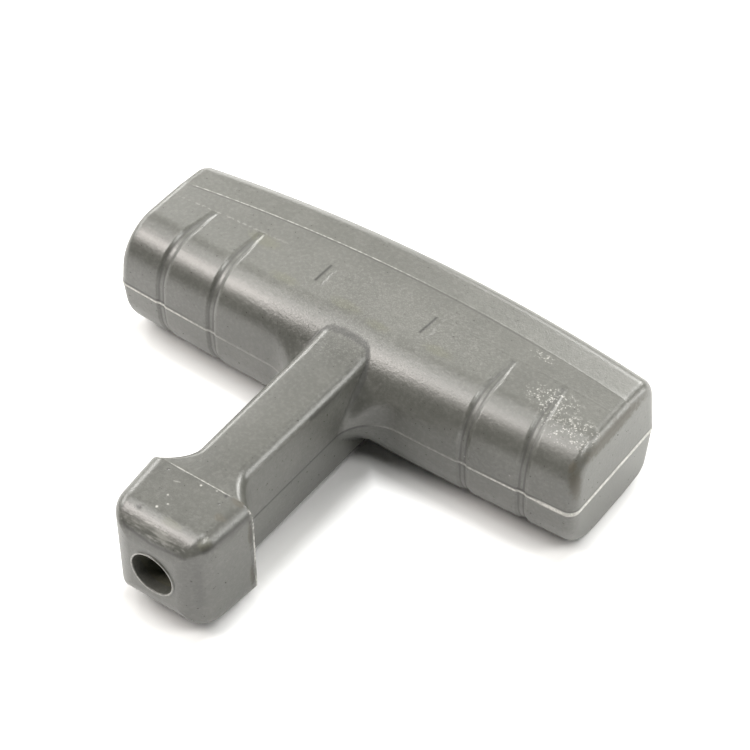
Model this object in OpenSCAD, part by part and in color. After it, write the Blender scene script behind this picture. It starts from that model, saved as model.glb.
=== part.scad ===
// Recoil starter handle: one solid T-shaped moulding.
// X runs along the grip bar, the nose with the rope hole points to -Y, Z is up.
// The handle lies on the underside of the bar, which touches Z = 0.

/* [Grip bar] */
// Length of the bar from end face to end face, at the parting plane
bar_length = 110; // [100:1:120]
// Height of the bar, both mould halves together
bar_height = 27.4; // [25:0.2:30]
// Depth of the bar at its middle, from the palm face to the front
bar_depth = 35.3; // [32:0.2:38]
// How far the palm face bows back between its ends and its middle
palm_bow = 4.5; // [0:0.1:6]
// How far the front of the bar bows forward at its middle
front_bow = 1.2; // [0:0.1:2.5]
// Radius that rounds the front of the bar over into its top
front_round = 9.4; // [7:0.1:11.5]
// Radius along the upper and lower edges of the palm face
palm_round = 3.9; // [3:0.1:7]
// Radius round the two end faces
end_round = 2.2; // [1.5:0.1:4]
// Distance of the rear crease from the palm face
crease_in = 10.1; // [8:0.1:12]
// Slope in degrees at which the top falls from the rear crease to the palm face
crease_fall = 4.8; // [0:0.1:7]
// Distance of the line where the finger lines begin from the palm face
ridge_in = 16.3; // [14:0.1:18]
// How far that line bows back between its ends and its middle
ridge_bow = 2.2; // [0:0.1:4]
// Draft of the bar walls in degrees, from the parting plane up and down
bar_draft = 3.6; // [2:0.1:6]

/* [Finger lines] */
// Distance of the two short lines from the middle
line_short_x = 12.6; // [12:0.1:14]
// Distance of the inner pair of long lines from the middle
line_inner_x = 30.3; // [28:0.1:32]
// Distance of the outer pair of long lines from the middle
line_outer_x = 41.8; // [40:0.1:43]
// Angle in degrees by which the outer pair spreads apart towards the front
outer_spread = 5.5; // [0:0.5:8]
// Width of a finger line, from edge to edge
line_width = 2.9; // [2.2:0.1:3.4]
// Width of the flat floor of a finger line
line_floor = 1; // [0.4:0.1:1.6]
// Depth of a finger line
line_depth = 0.4; // [0.2:0.1:0.9]
// Length of the two short lines, which fade out on the top
line_short = 6.5; // [4:0.5:8]

/* [Stem] */
// Width of the stem at the parting plane, next to the nose
stem_width = 13.5; // [12:0.1:16]
// Width of the stem at the parting plane, next to the bar
stem_root = 14; // [14:0.1:17]
// Height of the stem
stem_height = 23.5; // [20:0.1:24.4]
// Draft of the stem sides in degrees
stem_draft = 4.6; // [3:0.1:9]
// Rise of the convex stem top over its middle
stem_crown = 0.3; // [0:0.05:0.6]
// Radius along the four edges of the stem
stem_round = 2; // [1:0.1:2.5]
// Rise of the stem top over its last stretch before the bar
root_rise = 0.9; // [0:0.1:1.2]
// Length of that stretch
root_run = 9; // [6:0.5:12]
// Radius in plan where the stem sides run out into the bar
root_round = 8.5; // [7:0.5:10]
// Radius where the top of the stem meets the front of the bar
root_top_round = 2; // [1.5:0.1:4]

/* [Nose] */
// Distance from the middle of the palm face to the tip of the nose
reach = 89.9; // [84:0.5:96]
// Length of the nose block, from its rear line to its tip
nose_length = 15; // [12:0.2:17]
// Length over which the stem flares out to the nose
flare_length = 6.9; // [4:0.2:8]
// Width of the nose at its rear line
nose_width = 24; // [21:0.1:25]
// Width of the nose at its tip
tip_width = 21.6; // [20:0.1:23]
// Height of the nose at its rear line
nose_height = 24; // [23.6:0.1:26]
// Height of the nose at its tip
tip_height = 23.5; // [21:0.1:24.4]
// Radius along the four long edges of the nose
nose_round = 3.4; // [2:0.1:4.5]
// Radius round the front face of the nose
tip_round = 5.8; // [4:0.1:6.4]

/* [Rope way] */
// Bore for the starter rope, from the nose to the knot pocket
bore_d = 9.2; // [6:0.1:10]
// Outer diameter of the thin raised rim round the mouth of the bore
rim_d = 10.2; // [10.2:0.1:11]
// Height of that rim over the front face of the nose
rim_height = 0.3; // [0.2:0.05:0.5]
// Diameter of the round pocket for the knot, open on the palm side
pocket_d = 16; // [13:0.5:18]
// Depth of the knot pocket from the palm face
pocket_depth = 20; // [15:0.5:24]

/* [Hidden] */
$fn = 64;
half_length = bar_length / 2;
half_height = bar_height / 2;
line_r = line_width / 2;
tip_y = -reach;
collar_y = tip_y + nose_length;
flare_y = collar_y + flare_length;
bar_slope = tan(bar_draft);
stem_slope = tan(stem_draft);
fall_slope = tan(crease_fall);
spread_slope = tan(outer_spread);
// power of the curve by which the stem flares out to the nose
flare_power = 1.8;
// rise of the fade at either end of a finger line
line_fade = 1.2;
// the arm runs this far past the ridge line into the bar
arm_root = 1;
// share of the side face over which the root radius changes from the top one to the plan one
root_low = -3;
root_high = 2;
// how far past the expected skin the search along a ray goes, its most steps and its error
search_out = 1.3;
search_steps = 12;
search_fine = 0.00005;
// depth under an end face at which its outline is searched
face_gap = 0.02;

function sq(v) = v * v;
function clamp01(v) = min(max(v, 0), 1);
function ease(a, b, v) = let (t = clamp01((v - a) / (b - a))) t * t * (3 - 2 * t);
function mix(a, b, t) = a + (b - a) * t;
// rounded corner of radius r between two faces, given the distances from them
function outer(a, b, r) = min(max(a, b), -r) + norm([max(a + r, 0), max(b + r, 0)]);
// rounded inner corner of radius r between two bodies
function inner(a, b, r) = max(min(a, b), r) - norm([max(r - a, 0), max(r - b, 0)]);

// plan lines of the bar
function bowed(x) = sq(x / half_length);
function palm_y(x) = -palm_bow * bowed(x);
function front_y(x) = -bar_depth + front_bow * bowed(x);
function crease_y(x) = -crease_in - palm_bow * bowed(x);
function ridge_y(x) = -ridge_in - ridge_bow * bowed(x);

// distance from the skin of the bar, negative inside it
function bar_skin(x, y, z) =
    let (
        k = cos(bar_draft),
        front = (front_y(x) - y + bar_slope * z) * k,
        back = (y - palm_y(x) + bar_slope * z) * k,
        side = (x - half_length + bar_slope * z) * k,
        top = z - half_height + fall_slope * max(y - crease_y(x), 0)
    )
    outer(outer(outer(front, top, front_round), back, palm_round), side, end_round);

// where the top of the stem meets the rounded front of the bar
root_top_z = stem_height / 2 + root_rise - half_height + front_round;
root_top_y = front_round - bar_depth - sqrt(max(sq(front_round) - sq(root_top_z), 0));
// half width and half height of the arm, from the bar to the tip of the nose
function flare(y) = pow(clamp01((flare_y - y) / flare_length), flare_power);
function taper(y) = max((collar_y - y) / nose_length, 0);
function arm_w(y) =
    mix(stem_width, stem_root, clamp01((y - flare_y) / (-bar_depth - flare_y))) / 2
    + (nose_width - stem_width) / 2 * flare(y)
    - (nose_width - tip_width) / 2 * taper(y);
function arm_h(y) =
    mix(stem_height, nose_height, flare(y)) / 2
    + root_rise * sq(clamp01((y - root_top_y) / root_run + 1))
    - (nose_height - tip_height) / 2 * taper(y);
function arm_r(y) = mix(stem_round, nose_round, flare(y));

// share of the full depth of a finger line at a distance from its middle: flat floor, sloped walls
function groove(off) = 1 - ease(line_floor / 2, line_r, abs(off));
// depth of the finger lines
function line_cut(x, y) =
    let (
        from = ridge_y(x) - y,
        faded = 1 - ease(line_short - 2 * line_fade, line_short, from),
        short = groove(x - line_short_x) * faded,
        long = max(groove(x - line_inner_x), groove(x - line_outer_x - spread_slope * from))
    )
    from <= 0 ? 0 : line_depth * ease(0, line_fade, from) * max(short, long);

// distance from the skin of the whole handle at a point with x and z not negative
function skin(x, y, z) =
    let (
        bar = bar_skin(x, y, z) + line_cut(x, y),
        u = flare(y),
        k = stem_slope * (1 - u),
        side = (x - arm_w(y) + k * z) / sqrt(1 + k * k),
        top = z - arm_h(y) + stem_crown * (1 - u) * sq(2 * x / stem_width),
        tube = outer(outer(side, top, arm_r(y)), tip_y - y, tip_round),
        arm = max(tube, y + ridge_in - arm_root),
        r = mix(root_top_round, root_round, ease(root_low, root_high, side - top))
    )
    max(inner(bar, arm, r), z - half_height);

// stations along the bar spine, closer together at each finger line
function between(a, b, n) = [for (i = [1:n]) mix(a, b, i / (n + 1))];
floor_part = line_floor / line_width;
wall_part = (1 + floor_part) / 2;
line_parts = [-1, -wall_part, -floor_part, 0, floor_part, wall_part, 1];
function cluster(c) = [for (k = line_parts) c + k * line_r];
// shares of an edge radius that are left to its end face, from the start of the radius to the face
edge_left = [for (a = [0, 25, 50, 72, 90]) 1 - sin(a)];
stations = concat(
    [0],
    between(0, line_short_x - line_r, 3),
    cluster(line_short_x),
    between(line_short_x + line_r, line_inner_x - line_r, 3),
    cluster(line_inner_x),
    between(line_inner_x + line_r, line_outer_x - line_r, 2),
    cluster(line_outer_x),
    between(line_outer_x + line_r, half_length - end_round, 2),
    [for (f = edge_left) half_length - end_round * f]
);
count = len(stations);
root_x = stem_root / 2 + root_round;
root_mid_y = front_y(root_x) - root_round;
inner_count = len([for (x = stations) if (x < root_x - 1) x]);
// point on the plan arc between bar and stem, by its angle
function root_at(a) = [root_x + root_round * cos(a), root_mid_y + root_round * sin(a)];
// part of the arc whose rays start from the bar spine
arc_split = 45;

// stations along the arm spine
top_run = [for (i = [1:11]) mix(-ridge_in, -bar_depth - 1, i / 11)];
stem_run = [for (i = [1:6]) mix(-bar_depth - 1, flare_y, i / 6)];
flare_run = [for (i = [1:6]) mix(flare_y, collar_y, 1 - sq(1 - i / 6))];
nose_run = between(collar_y, tip_y + tip_round, 1);
tip_run = [for (f = edge_left) tip_y + tip_round * f];
arm_stations = concat(top_run, stem_run, flare_run, nose_run, tip_run);
arm_count = len(arm_stations);
arc_count = len(top_run);
side_from = root_mid_y - 0.5;

// place on the front of the bar that belongs to a station, spread with the outer lines
function front_x(x) =
    x + spread_slope * (ridge_y(x) - front_y(x))
    * ease(line_inner_x + line_r, line_outer_x - line_r, x)
    * (1 - ease(line_outer_x + line_r, half_length - end_round, x));
// lean of the sections towards the drafted end face
function lean(x) = bar_slope * ease(line_outer_x, half_length - end_round, x);
// each ray: spine point, target on the plan, height and edge radius of the section there, lean
rays = concat(
    [for (x = stations) [[x, ridge_y(x)], [x, palm_y(x)], half_height, palm_round, lean(x)]],
    [for (i = [count - 1:-1:inner_count])
        let (x = stations[i], fx = front_x(x))
        [[x, ridge_y(x)], [fx, front_y(fx)], half_height, front_round, lean(x)]],
    [for (i = [inner_count - 1:-1:0])
        let (x = stations[i], f = 1 - i / inner_count)
        [[x, ridge_y(x)], root_at(90 + arc_split * f), half_height, mix(front_round, stem_round, f), 0]],
    [for (i = [0:arc_count - 1])
        let (f = (i + 1) / arc_count, to = root_at(mix(90 + arc_split, 180, f)))
        [[0, arm_stations[i]], to, mix(half_height, stem_height / 2, f), stem_round, 0]],
    [for (i = [arc_count:arm_count - 1])
        let (
            y = arm_stations[i],
            f = (i - arc_count + 1) / len(stem_run),
            t = f < 1 ? mix(side_from, flare_y, f) : y
        )
        [[0, y], [arm_w(t), t], arm_h(t), arm_r(t), 0]]
);
ray_count = len(rays);
arm_first = 2 * count;

// elevations at which the edge radius of a section begins and ends, seen from its spine
function reach_of(r) = norm(r[1] - r[0]) - bar_slope * r[2];
raw_low = [for (r = rays) atan2(r[2] - r[3], reach_of(r))];
raw_high = [for (r = rays) atan2(r[2], max(reach_of(r) - r[3], 0.3 * reach_of(r)))];
function soften(v) = [for (i = [0:len(v) - 1])
    i < count ? v[i] : (v[i - 1] + 2 * v[i] + v[min(i + 1, len(v) - 1)]) / 4];
function front_only(v) = [for (i = [0:len(v) - 1]) i == count ? v[i + 1] : v[i]];
low = front_only(soften(soften(front_only(raw_low))));
high = front_only(soften(soften(front_only(raw_high))));
wall_rows = 3;
edge_rows = 5;
top_rows = 5;
row_count = wall_rows + edge_rows + top_rows;
function elevation(i, j) =
    j <= wall_rows ? low[i] * j / wall_rows :
    j <= wall_rows + edge_rows ? mix(low[i], high[i], (j - wall_rows) / edge_rows) :
    mix(high[i], 90, (j - wall_rows - edge_rows) / top_rows);

// distance along a ray to the skin, closing in between a point inside and a point outside
function skin_at(k, d, t) = skin(k.x + d.x * t, k.y + d.y * t, d.z * t);
function close_in(k, d, a, fa, b, fb, n) =
    let (m = (a * fb - b * fa) / (fb - fa))
    n == 0 ? m :
    let (f = skin_at(k, d, m))
    abs(f) < search_fine ? m :
    f < 0 ? close_in(k, d, m, f, b, fb / 2, n - 1) : close_in(k, d, a, fa / 2, m, f, n - 1);
// a section that lies in an end face is searched just inside it and then moved onto it
function inset(r) = r[0].x == half_length ? [face_gap, 0] : r[0].y == tip_y ? [0, -face_gap] : [0, 0];
function on_skin(i, j) =
    let (
        r = rays[i],
        g = inset(r),
        k = r[0] - g,
        to = r[1] - r[0],
        dist = norm(to),
        e = elevation(i, j),
        c = cos(e) / dist,
        d = [to.x * c - r[4] * sin(e), to.y * c, sin(e)],
        far = search_out * min(dist / max(cos(e), 0.001), half_height / max(sin(e), 0.001)) + 1,
        t = close_in(k, d, 0, skin_at(k, d, 0), far, skin_at(k, d, far), search_steps)
    )
    [k.x + d.x * t + g.x, k.y + d.y * t + g.y, d.z * t];

// quarter of the skin, mirrored in x and z to close it
quarter = [for (i = [0:ray_count - 1]) [for (j = [0:row_count]) on_skin(i, j)]];
loop = 2 * ray_count - 1;
band = 2 * row_count - 1;
function at_ray(s) = s < ray_count ? s : loop - s;
function side_of(s) = s < ray_count ? 1 : -1;
ring_points = [
    for (s = [0:loop - 1])
        for (t = [-(row_count - 1):row_count - 1])
            let (p = quarter[at_ray(s)][abs(t)])
            [side_of(s) * p.x, p.y, t == 0 ? 0 : sign(t) * p.z]
];
// points over the spines: bar to the right, bar to the left, then the arm
function spine_points(s) = concat(
    [for (i = [0:count - 1]) let (p = quarter[i][row_count]) [p.x, p.y, s * p.z]],
    [for (i = [1:count - 1]) let (p = quarter[i][row_count]) [-p.x, p.y, s * p.z]],
    [for (i = [0:arm_count - 1]) let (p = quarter[arm_first + i][row_count]) [0, p.y, s * p.z]]
);
spine_size = 2 * count - 1 + arm_count;
// number of the spine point that belongs to a ray
function spine_of(i) = i < count ? i : i < arm_first ? arm_first - 1 - i : i - 1;
function spine_at(s) =
    let (n = spine_of(at_ray(s)))
    n > 0 && n < count && side_of(s) < 0 ? count - 1 + n : n;
function ring_at(s, t) = s % loop * band + t + row_count - 1;
ring_size = loop * band;
function cap(s, t, base) =
    let (
        a = base + spine_at(s),
        b = base + spine_at((s + 1) % loop),
        p = ring_at(s, t),
        q = ring_at(s + 1, t)
    )
    a == b ? [[p, q, a]] : [[p, q, a], [q, b, a]];
function flip(f) = [f[0], f[2], f[1]];
skin_faces = concat(
    [for (s = [0:loop - 1]) for (t = [-(row_count - 1):row_count - 2])
        let (a = ring_at(s, t), b = ring_at(s + 1, t), c = ring_at(s + 1, t + 1), d = ring_at(s, t + 1))
        each [[a, b, d], [b, c, d]]],
    [for (s = [0:loop - 1]) for (f = cap(s, row_count - 1, ring_size)) f],
    [for (s = [0:loop - 1]) for (f = cap(s, -(row_count - 1), ring_size + spine_size)) flip(f)]
);

module moulding()
{
    polyhedron(concat(ring_points, spine_points(1), spine_points(-1)), skin_faces, 10);
}

// round bar along Y, from one y to another
module along_y(d, from, to)
{
    translate([0, from, 0])
        rotate([-90, 0, 0])
            cylinder(d = d, h = to - from);
}

module handle()
{
    color([0.45, 0.45, 0.42])
        translate([0, (reach + rim_height) / 2, half_height])
            difference() {
                union() {
                    moulding();
                    along_y(rim_d, tip_y - rim_height, tip_y + 2);
                }
                along_y(bore_d, tip_y - 1, -pocket_depth + 1);
                along_y(pocket_d, -pocket_depth, 1);
            }
}

handle();
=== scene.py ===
"""Looks of the recoil starter handle: its moulded skin, its finish, the floor, the light and the camera.

The skin follows the same formulas as the part's solid, on a finer mesh, with the mould's fine marks on it.
Sizes are in millimetres with the middle of the palm face at y = 0 and the parting plane at z = 0,
until the mesh is placed in the frame, which is in metres.
"""

from __future__ import annotations

import logging
import math
from dataclasses import dataclass, field
from enum import Enum
from typing import Callable

import bpy
import numpy as np
from mathutils import Matrix, Vector

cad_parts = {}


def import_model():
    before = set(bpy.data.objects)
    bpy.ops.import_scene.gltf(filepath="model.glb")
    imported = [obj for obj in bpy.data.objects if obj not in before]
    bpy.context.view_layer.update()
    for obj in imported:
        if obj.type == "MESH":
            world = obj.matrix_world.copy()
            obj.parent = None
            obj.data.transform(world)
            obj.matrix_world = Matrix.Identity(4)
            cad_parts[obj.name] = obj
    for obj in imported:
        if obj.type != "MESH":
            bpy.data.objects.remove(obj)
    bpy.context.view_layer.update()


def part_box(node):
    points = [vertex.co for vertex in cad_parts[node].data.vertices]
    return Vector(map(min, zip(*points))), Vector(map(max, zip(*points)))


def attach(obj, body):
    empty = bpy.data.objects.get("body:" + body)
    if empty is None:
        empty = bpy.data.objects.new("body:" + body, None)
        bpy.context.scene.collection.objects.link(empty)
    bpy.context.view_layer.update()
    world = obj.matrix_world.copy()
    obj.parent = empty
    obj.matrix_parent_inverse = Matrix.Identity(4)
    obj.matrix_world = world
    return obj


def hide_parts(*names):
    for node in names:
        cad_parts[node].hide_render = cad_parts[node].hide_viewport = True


LOG = logging.getLogger("starter_handle")
MM = 0.001
NODE = "handle"
Numbers = np.ndarray
Colour = tuple[float, float, float, float]
Triple = tuple[float, float, float]
Socket = bpy.types.NodeSocket
PlanArc = Callable[[float], tuple[float, float]]


class Surface(Enum):
    """Which material a face of the handle carries."""

    SKIN = 0
    BORE = 1


def ease(low: float, high: float, value: Numbers) -> Numbers:
    """Smooth step from 0 at low to 1 at high."""
    share = np.clip((value - low) / (high - low), 0, 1)
    return share * share * (3 - 2 * share)


def mix(first: Numbers, second: Numbers, share: Numbers) -> Numbers:
    """Value between first and second by share."""
    return first + (second - first) * share


def bell(value: Numbers, width: float) -> Numbers:
    """Rounded ridge, 1 at value 0 and nearly 0 at twice the width."""
    return np.exp(-((value / width) ** 2))


def outer(first: Numbers, second: Numbers, radius: Numbers) -> Numbers:
    """Rounded outer corner between two faces, given the distances from them."""
    over = np.hypot(np.maximum(first + radius, 0), np.maximum(second + radius, 0))
    return np.minimum(np.maximum(first, second), -radius) + over


def inner(first: Numbers, second: Numbers, radius: Numbers) -> Numbers:
    """Rounded inner corner between two bodies, given the distances from them."""
    under = np.hypot(np.maximum(radius - first, 0), np.maximum(radius - second, 0))
    return np.maximum(np.minimum(first, second), radius) - under


@dataclass
class GripBar:
    """The bar that the fingers close round, bowed at its palm side and rounded at its front.

    Args:
        half_length: Half the bar's length at the parting plane.
        half_height: Half the bar's height.
        depth: From the palm face to the front in the middle.
        palm_bow: How far the palm face falls back at the ends.
        front_bow: How far the front falls back at the ends.
        front_round: Radius between top and front.
        middle_round: What that radius gains over the stem.
        middle_reach: How far from the middle it gains it.
        palm_round: Radius between top and palm face.
        end_round: Radius round the end faces.
        crease_in: From the palm face to the rear crease in the middle.
        crease_fall: Fall of the top behind the crease, in degrees.
        ridge_in: From the palm face to the line where the finger lines begin, in the middle.
        ridge_bow: How far that line bends back at the ends.
        draft: Lean of the walls, in degrees.
    """

    half_length: float
    half_height: float
    depth: float = 35.3
    palm_bow: float = 4.5
    front_bow: float = 1.2
    front_round: float = 9.4
    middle_round: float = 1.5
    middle_reach: float = 9.0
    palm_round: float = 3.9
    end_round: float = 2.2
    crease_in: float = 10.1
    crease_fall: float = 4.8
    ridge_in: float = 16.3
    ridge_bow: float = 2.2
    draft: float = 3.6

    @property
    def slope(self) -> float:
        """Sideways step of the drafted walls for each step up."""
        return math.tan(math.radians(self.draft))

    def bowed(self, x: Numbers) -> Numbers:
        """Share of the bow at x, 0 in the middle and 1 at the ends."""
        return (x / self.half_length) ** 2

    def palm_y(self, x: Numbers) -> Numbers:
        """Line of the palm face at the parting plane."""
        return -self.palm_bow * self.bowed(x)

    def front_y(self, x: Numbers) -> Numbers:
        """Line of the front face at the parting plane."""
        return -self.depth + self.front_bow * self.bowed(x)

    def crease_y(self, x: Numbers) -> Numbers:
        """Line of the rear crease on the top."""
        return -self.crease_in - self.palm_bow * self.bowed(x)

    def ridge_y(self, x: Numbers) -> Numbers:
        """Line on the top where the finger lines begin."""
        return -self.ridge_in - self.ridge_bow * self.bowed(x)

    def skin(self, x: Numbers, y: Numbers, z: Numbers) -> Numbers:
        """Distance from the plain bar, negative inside it.

        Args:
            x: Place along the bar, not negative.
            y: Place across the bar.
            z: Height over the parting plane, not negative.

        Returns:
            The distance in millimetres.
        """
        lean = math.cos(math.radians(self.draft))
        front = (self.front_y(x) - y + self.slope * z) * lean
        back = (y - self.palm_y(x) + self.slope * z) * lean
        side = (x - self.half_length + self.slope * z) * lean
        fall = math.tan(math.radians(self.crease_fall))
        top = z - self.half_height + fall * np.maximum(y - self.crease_y(x), 0)
        rounding = self.front_round + self.middle_round * bell(x, self.middle_reach)
        body = outer(front, top, rounding)
        return outer(outer(body, back, self.palm_round), side, self.end_round)


@dataclass
class FingerLines:
    """Sunk lines over the front of the bar, with a flat floor and sloped walls.

    Args:
        short_x: Place of the short line on the top.
        inner_x: Place of the inner long line.
        outer_x: Place where the outer long line begins.
        spread: Angle at which the outer line runs outwards, in degrees.
        half_width: Half the width at the front.
        half_floor: Half the width of the flat floor.
        depth: Depth at the front.
        fade: Length over which a line sinks in.
        short_length: Length of the short line.
        top_share: Share of its width with which a line begins.
        low_share: Share of its depth near the parting plane.
        short_share: Share of the depth that the short line has.
    """

    short_x: float = 12.6
    inner_x: float = 30.3
    outer_x: float = 41.8
    spread: float = 5.5
    half_width: float = 1.45
    half_floor: float = 0.5
    depth: float = 0.4
    fade: float = 1.2
    short_length: float = 6.5
    top_share: float = 0.7
    low_share: float = 0.75
    short_share: float = 0.4

    @property
    def spread_slope(self) -> float:
        """Sideways step of the outer pair for each step to the front."""
        return math.tan(math.radians(self.spread))

    def profile(self, off: Numbers, share: Numbers) -> Numbers:
        """Share of the full depth at a sideways distance from a line that has a share of its full width."""
        floor = self.half_floor * np.maximum(2 * share - 1, 0)
        return 1 - ease(floor, self.half_width * share, np.abs(off))

    def cut(self, x: Numbers, past: Numbers, z: Numbers) -> Numbers:
        """Depth of the lines.

        Args:
            x: Place along the bar, not negative.
            past: Distance in front of the ridge line.
            z: Height over the parting plane, not negative.

        Returns:
            The depth in millimetres.
        """
        share = mix(self.top_share, 1, ease(1, 8, past))
        faded = 1 - ease(self.short_length - 2 * self.fade, self.short_length, past)
        short = self.profile(x - self.short_x, share) * faded * self.short_share
        outermost = self.profile(x - self.outer_x - self.spread_slope * past, share)
        long = np.maximum(self.profile(x - self.inner_x, share), outermost)
        begin = np.where(past <= 0, 0, ease(0, self.fade, past)) * share**3
        return self.depth * begin * np.maximum(short, long) * mix(self.low_share, 1, ease(3, 9, z))


@dataclass
class Arm:
    """Stem and nose, one tube of rounded rectangular sections from the bar to the tip.

    Args:
        tip_y: Place of the nose's front face.
        root_top_y: Place where the stem's top meets the bar's front.
        bar_front_y: Place of the bar's front in its middle.
        stem_width: Width of the stem at its front end.
        stem_root: Width of the stem at the bar.
        stem_height: Height of the stem.
        stem_draft: Lean of the stem's sides, in degrees.
        stem_crown: How much lower the stem's top is at its edges.
        stem_round: Radius of the stem's long edges.
        root_rise: How much higher the stem's top is where it meets the bar.
        root_run: Length over which it rises.
        nose_length: Length of the nose.
        flare_length: Length of the flare behind the nose.
        flare_power: How late the flare sets in.
        nose_width: Width of the nose at its rear line.
        tip_width: Width of the nose at its front face.
        nose_height: Height of the nose at its rear line.
        tip_height: Height of the nose at its front face.
        nose_round: Radius of the nose's long edges.
        tip_round: Radius round the front face.
    """

    tip_y: float
    root_top_y: float
    bar_front_y: float
    stem_width: float = 13.5
    stem_root: float = 14.0
    stem_height: float = 23.5
    stem_draft: float = 4.6
    stem_crown: float = 0.3
    stem_round: float = 2.0
    root_rise: float = 0.45
    root_run: float = 9.0
    nose_length: float = 15.0
    flare_length: float = 6.9
    flare_power: float = 1.8
    nose_width: float = 24.0
    tip_width: float = 21.6
    nose_height: float = 24.0
    tip_height: float = 23.5
    nose_round: float = 3.4
    tip_round: float = 5.8

    @property
    def collar_y(self) -> float:
        """Place of the nose's rear line."""
        return self.tip_y + self.nose_length

    @property
    def flare_y(self) -> float:
        """Place where the stem begins to flare out."""
        return self.collar_y + self.flare_length

    def flare(self, y: Numbers) -> Numbers:
        """Share of the flare from the stem to the nose."""
        return np.clip((self.flare_y - y) / self.flare_length, 0, 1) ** self.flare_power

    def taper(self, y: Numbers) -> Numbers:
        """Share of the nose's taper from its rear line to its tip."""
        return np.maximum((self.collar_y - y) / self.nose_length, 0)

    def half_width(self, y: Numbers) -> Numbers:
        """Half the width of the section at the parting plane."""
        along = np.clip((y - self.flare_y) / (self.bar_front_y - self.flare_y), 0, 1)
        plain = mix(self.stem_width, self.stem_root, along) / 2
        widened = (self.nose_width - self.stem_width) / 2 * self.flare(y)
        return plain + widened - (self.nose_width - self.tip_width) / 2 * self.taper(y)

    def half_height(self, y: Numbers) -> Numbers:
        """Half the height of the section."""
        plain = mix(self.stem_height, self.nose_height, self.flare(y)) / 2
        rise = self.root_rise * np.clip((y - self.root_top_y) / self.root_run + 1, 0, 1) ** 2
        return plain + rise - (self.nose_height - self.tip_height) / 2 * self.taper(y)

    def edge_round(self, y: Numbers) -> Numbers:
        """Radius of the section's corners."""
        return mix(self.stem_round, self.nose_round, self.flare(y))

    def faces(self, x: Numbers, y: Numbers, z: Numbers) -> tuple[Numbers, Numbers]:
        """Distances from the side face and from the top face."""
        flare = self.flare(y)
        slope = math.tan(math.radians(self.stem_draft)) * (1 - flare)
        side = (x - self.half_width(y) + slope * z) / np.sqrt(1 + slope * slope)
        crown = self.stem_crown * (1 - flare) * (2 * x / self.stem_width) ** 2
        return side, z - self.half_height(y) + crown

    def skin(self, x: Numbers, y: Numbers, z: Numbers) -> Numbers:
        """Distance from the tube, open towards the bar."""
        side, top = self.faces(x, y, z)
        return outer(outer(side, top, self.edge_round(y)), self.tip_y - y, self.tip_round)


@dataclass
class MouldMarks:
    """Fine raised marks that the mould left: the flash along its parting plane and hairlines on the top.

    Each has a width, over which it falls to about a third, and a height.
    """

    flash_width: float = 0.13
    flash_height: float = 0.16
    crease_width: float = 0.13
    crease_height: float = 0.015
    ridge_width: float = 0.22
    ridge_height: float = 0.012
    collar_width: float = 0.16
    collar_height: float = 0.04

    def flash_share(self, x: Numbers, y: Numbers) -> Numbers:
        """How high the flash stands, 1 at the bar's ends, less at its middle and nothing on the arm."""
        on_bar = (0.45 + 0.55 * ease(24, 36, x)) * ease(-38, -34, y)
        ragged = 0.8 + 0.2 * np.sin(1.7 * x + 0.9 * y) * np.sin(0.63 * x - 1.3 * y + 1)
        return on_bar * ragged

    def raised(self, bar: GripBar, arm: Arm, x: Numbers, y: Numbers, z: Numbers) -> Numbers:
        """Height of the marks over the plain skin.

        Args:
            bar: The grip bar.
            arm: The stem and nose.
            x: Place along the bar, not negative.
            y: Place across the bar.
            z: Height over the parting plane, not negative.

        Returns:
            The height in millimetres.
        """
        flash = self.flash_height * self.flash_share(x, y) * bell(z, self.flash_width)
        on_top = ease(9, 11, z)
        crease = self.crease_height * bell(y - bar.crease_y(x), self.crease_width) * on_top
        ridge = self.ridge_height * bell(y - bar.ridge_y(x), self.ridge_width) * on_top
        collar = self.collar_height * bell(y - arm.collar_y, self.collar_width)
        return flash + crease + ridge + collar


@dataclass
class RopeWay:
    """The bore for the rope, the thin rim round its mouth and the knot pocket in the palm side.

    Args:
        bore_radius: Radius of the bore.
        rim_radius: Outer radius of the rim.
        rim_height: How far the rim stands out of the nose.
        pocket_radius: Radius of the knot pocket.
        pocket_depth: Its depth from the palm face.
        soft_edge: Radius of the edges at its floor and mouth.
        floor_fillet: Radius between its floor and wall.
        lip_y: Place where its wall meets the patch of the palm face.
        skin_points: Number of the profile's first points that carry the outer finish.
    """

    bore_radius: float = 4.6
    rim_radius: float = 5.1
    rim_height: float = 0.3
    pocket_radius: float = 8.0
    pocket_depth: float = 20.0
    soft_edge: float = 0.35
    floor_fillet: float = 0.8
    lip_y: float = -1.6
    skin_points: int = 7

    def tube(self, tip_y: float) -> list[tuple[float, float]]:
        """Profile from the foot of the rim to just inside the pocket's mouth.

        Args:
            tip_y: Place of the nose's front face.

        Returns:
            Pairs of radius and y.
        """
        crest = tip_y - self.rim_height
        middle = (self.bore_radius + self.rim_radius) / 2
        floor_y = -self.pocket_depth
        bend = [
            (self.pocket_radius - self.floor_fillet * (1 - math.sin(a)),
             floor_y + self.floor_fillet * (1 - math.cos(a)))
            for a in np.radians([0, 30, 60, 90])
        ]
        lip = [
            (self.bore_radius + self.soft_edge * (1 - math.cos(a)),
             floor_y - self.soft_edge * (1 - math.sin(a)))
            for a in np.radians([0, 45, 90])
        ]
        rim = [
            (self.rim_radius, tip_y),
            (self.rim_radius - 0.03, crest + 0.12),
            (middle + 0.1, crest + 0.01),
            (middle - 0.08, crest),
            (self.bore_radius + 0.02, crest + 0.12),
            (self.bore_radius, crest + 0.3),
        ]
        wall = [(self.bore_radius, float(y)) for y in np.linspace(tip_y + 2, floor_y - 2, 14)]
        pocket = [(self.pocket_radius, float(y)) for y in np.linspace(floor_y + 2, self.lip_y, 8)]
        return rim + wall + lip + bend + pocket


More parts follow.
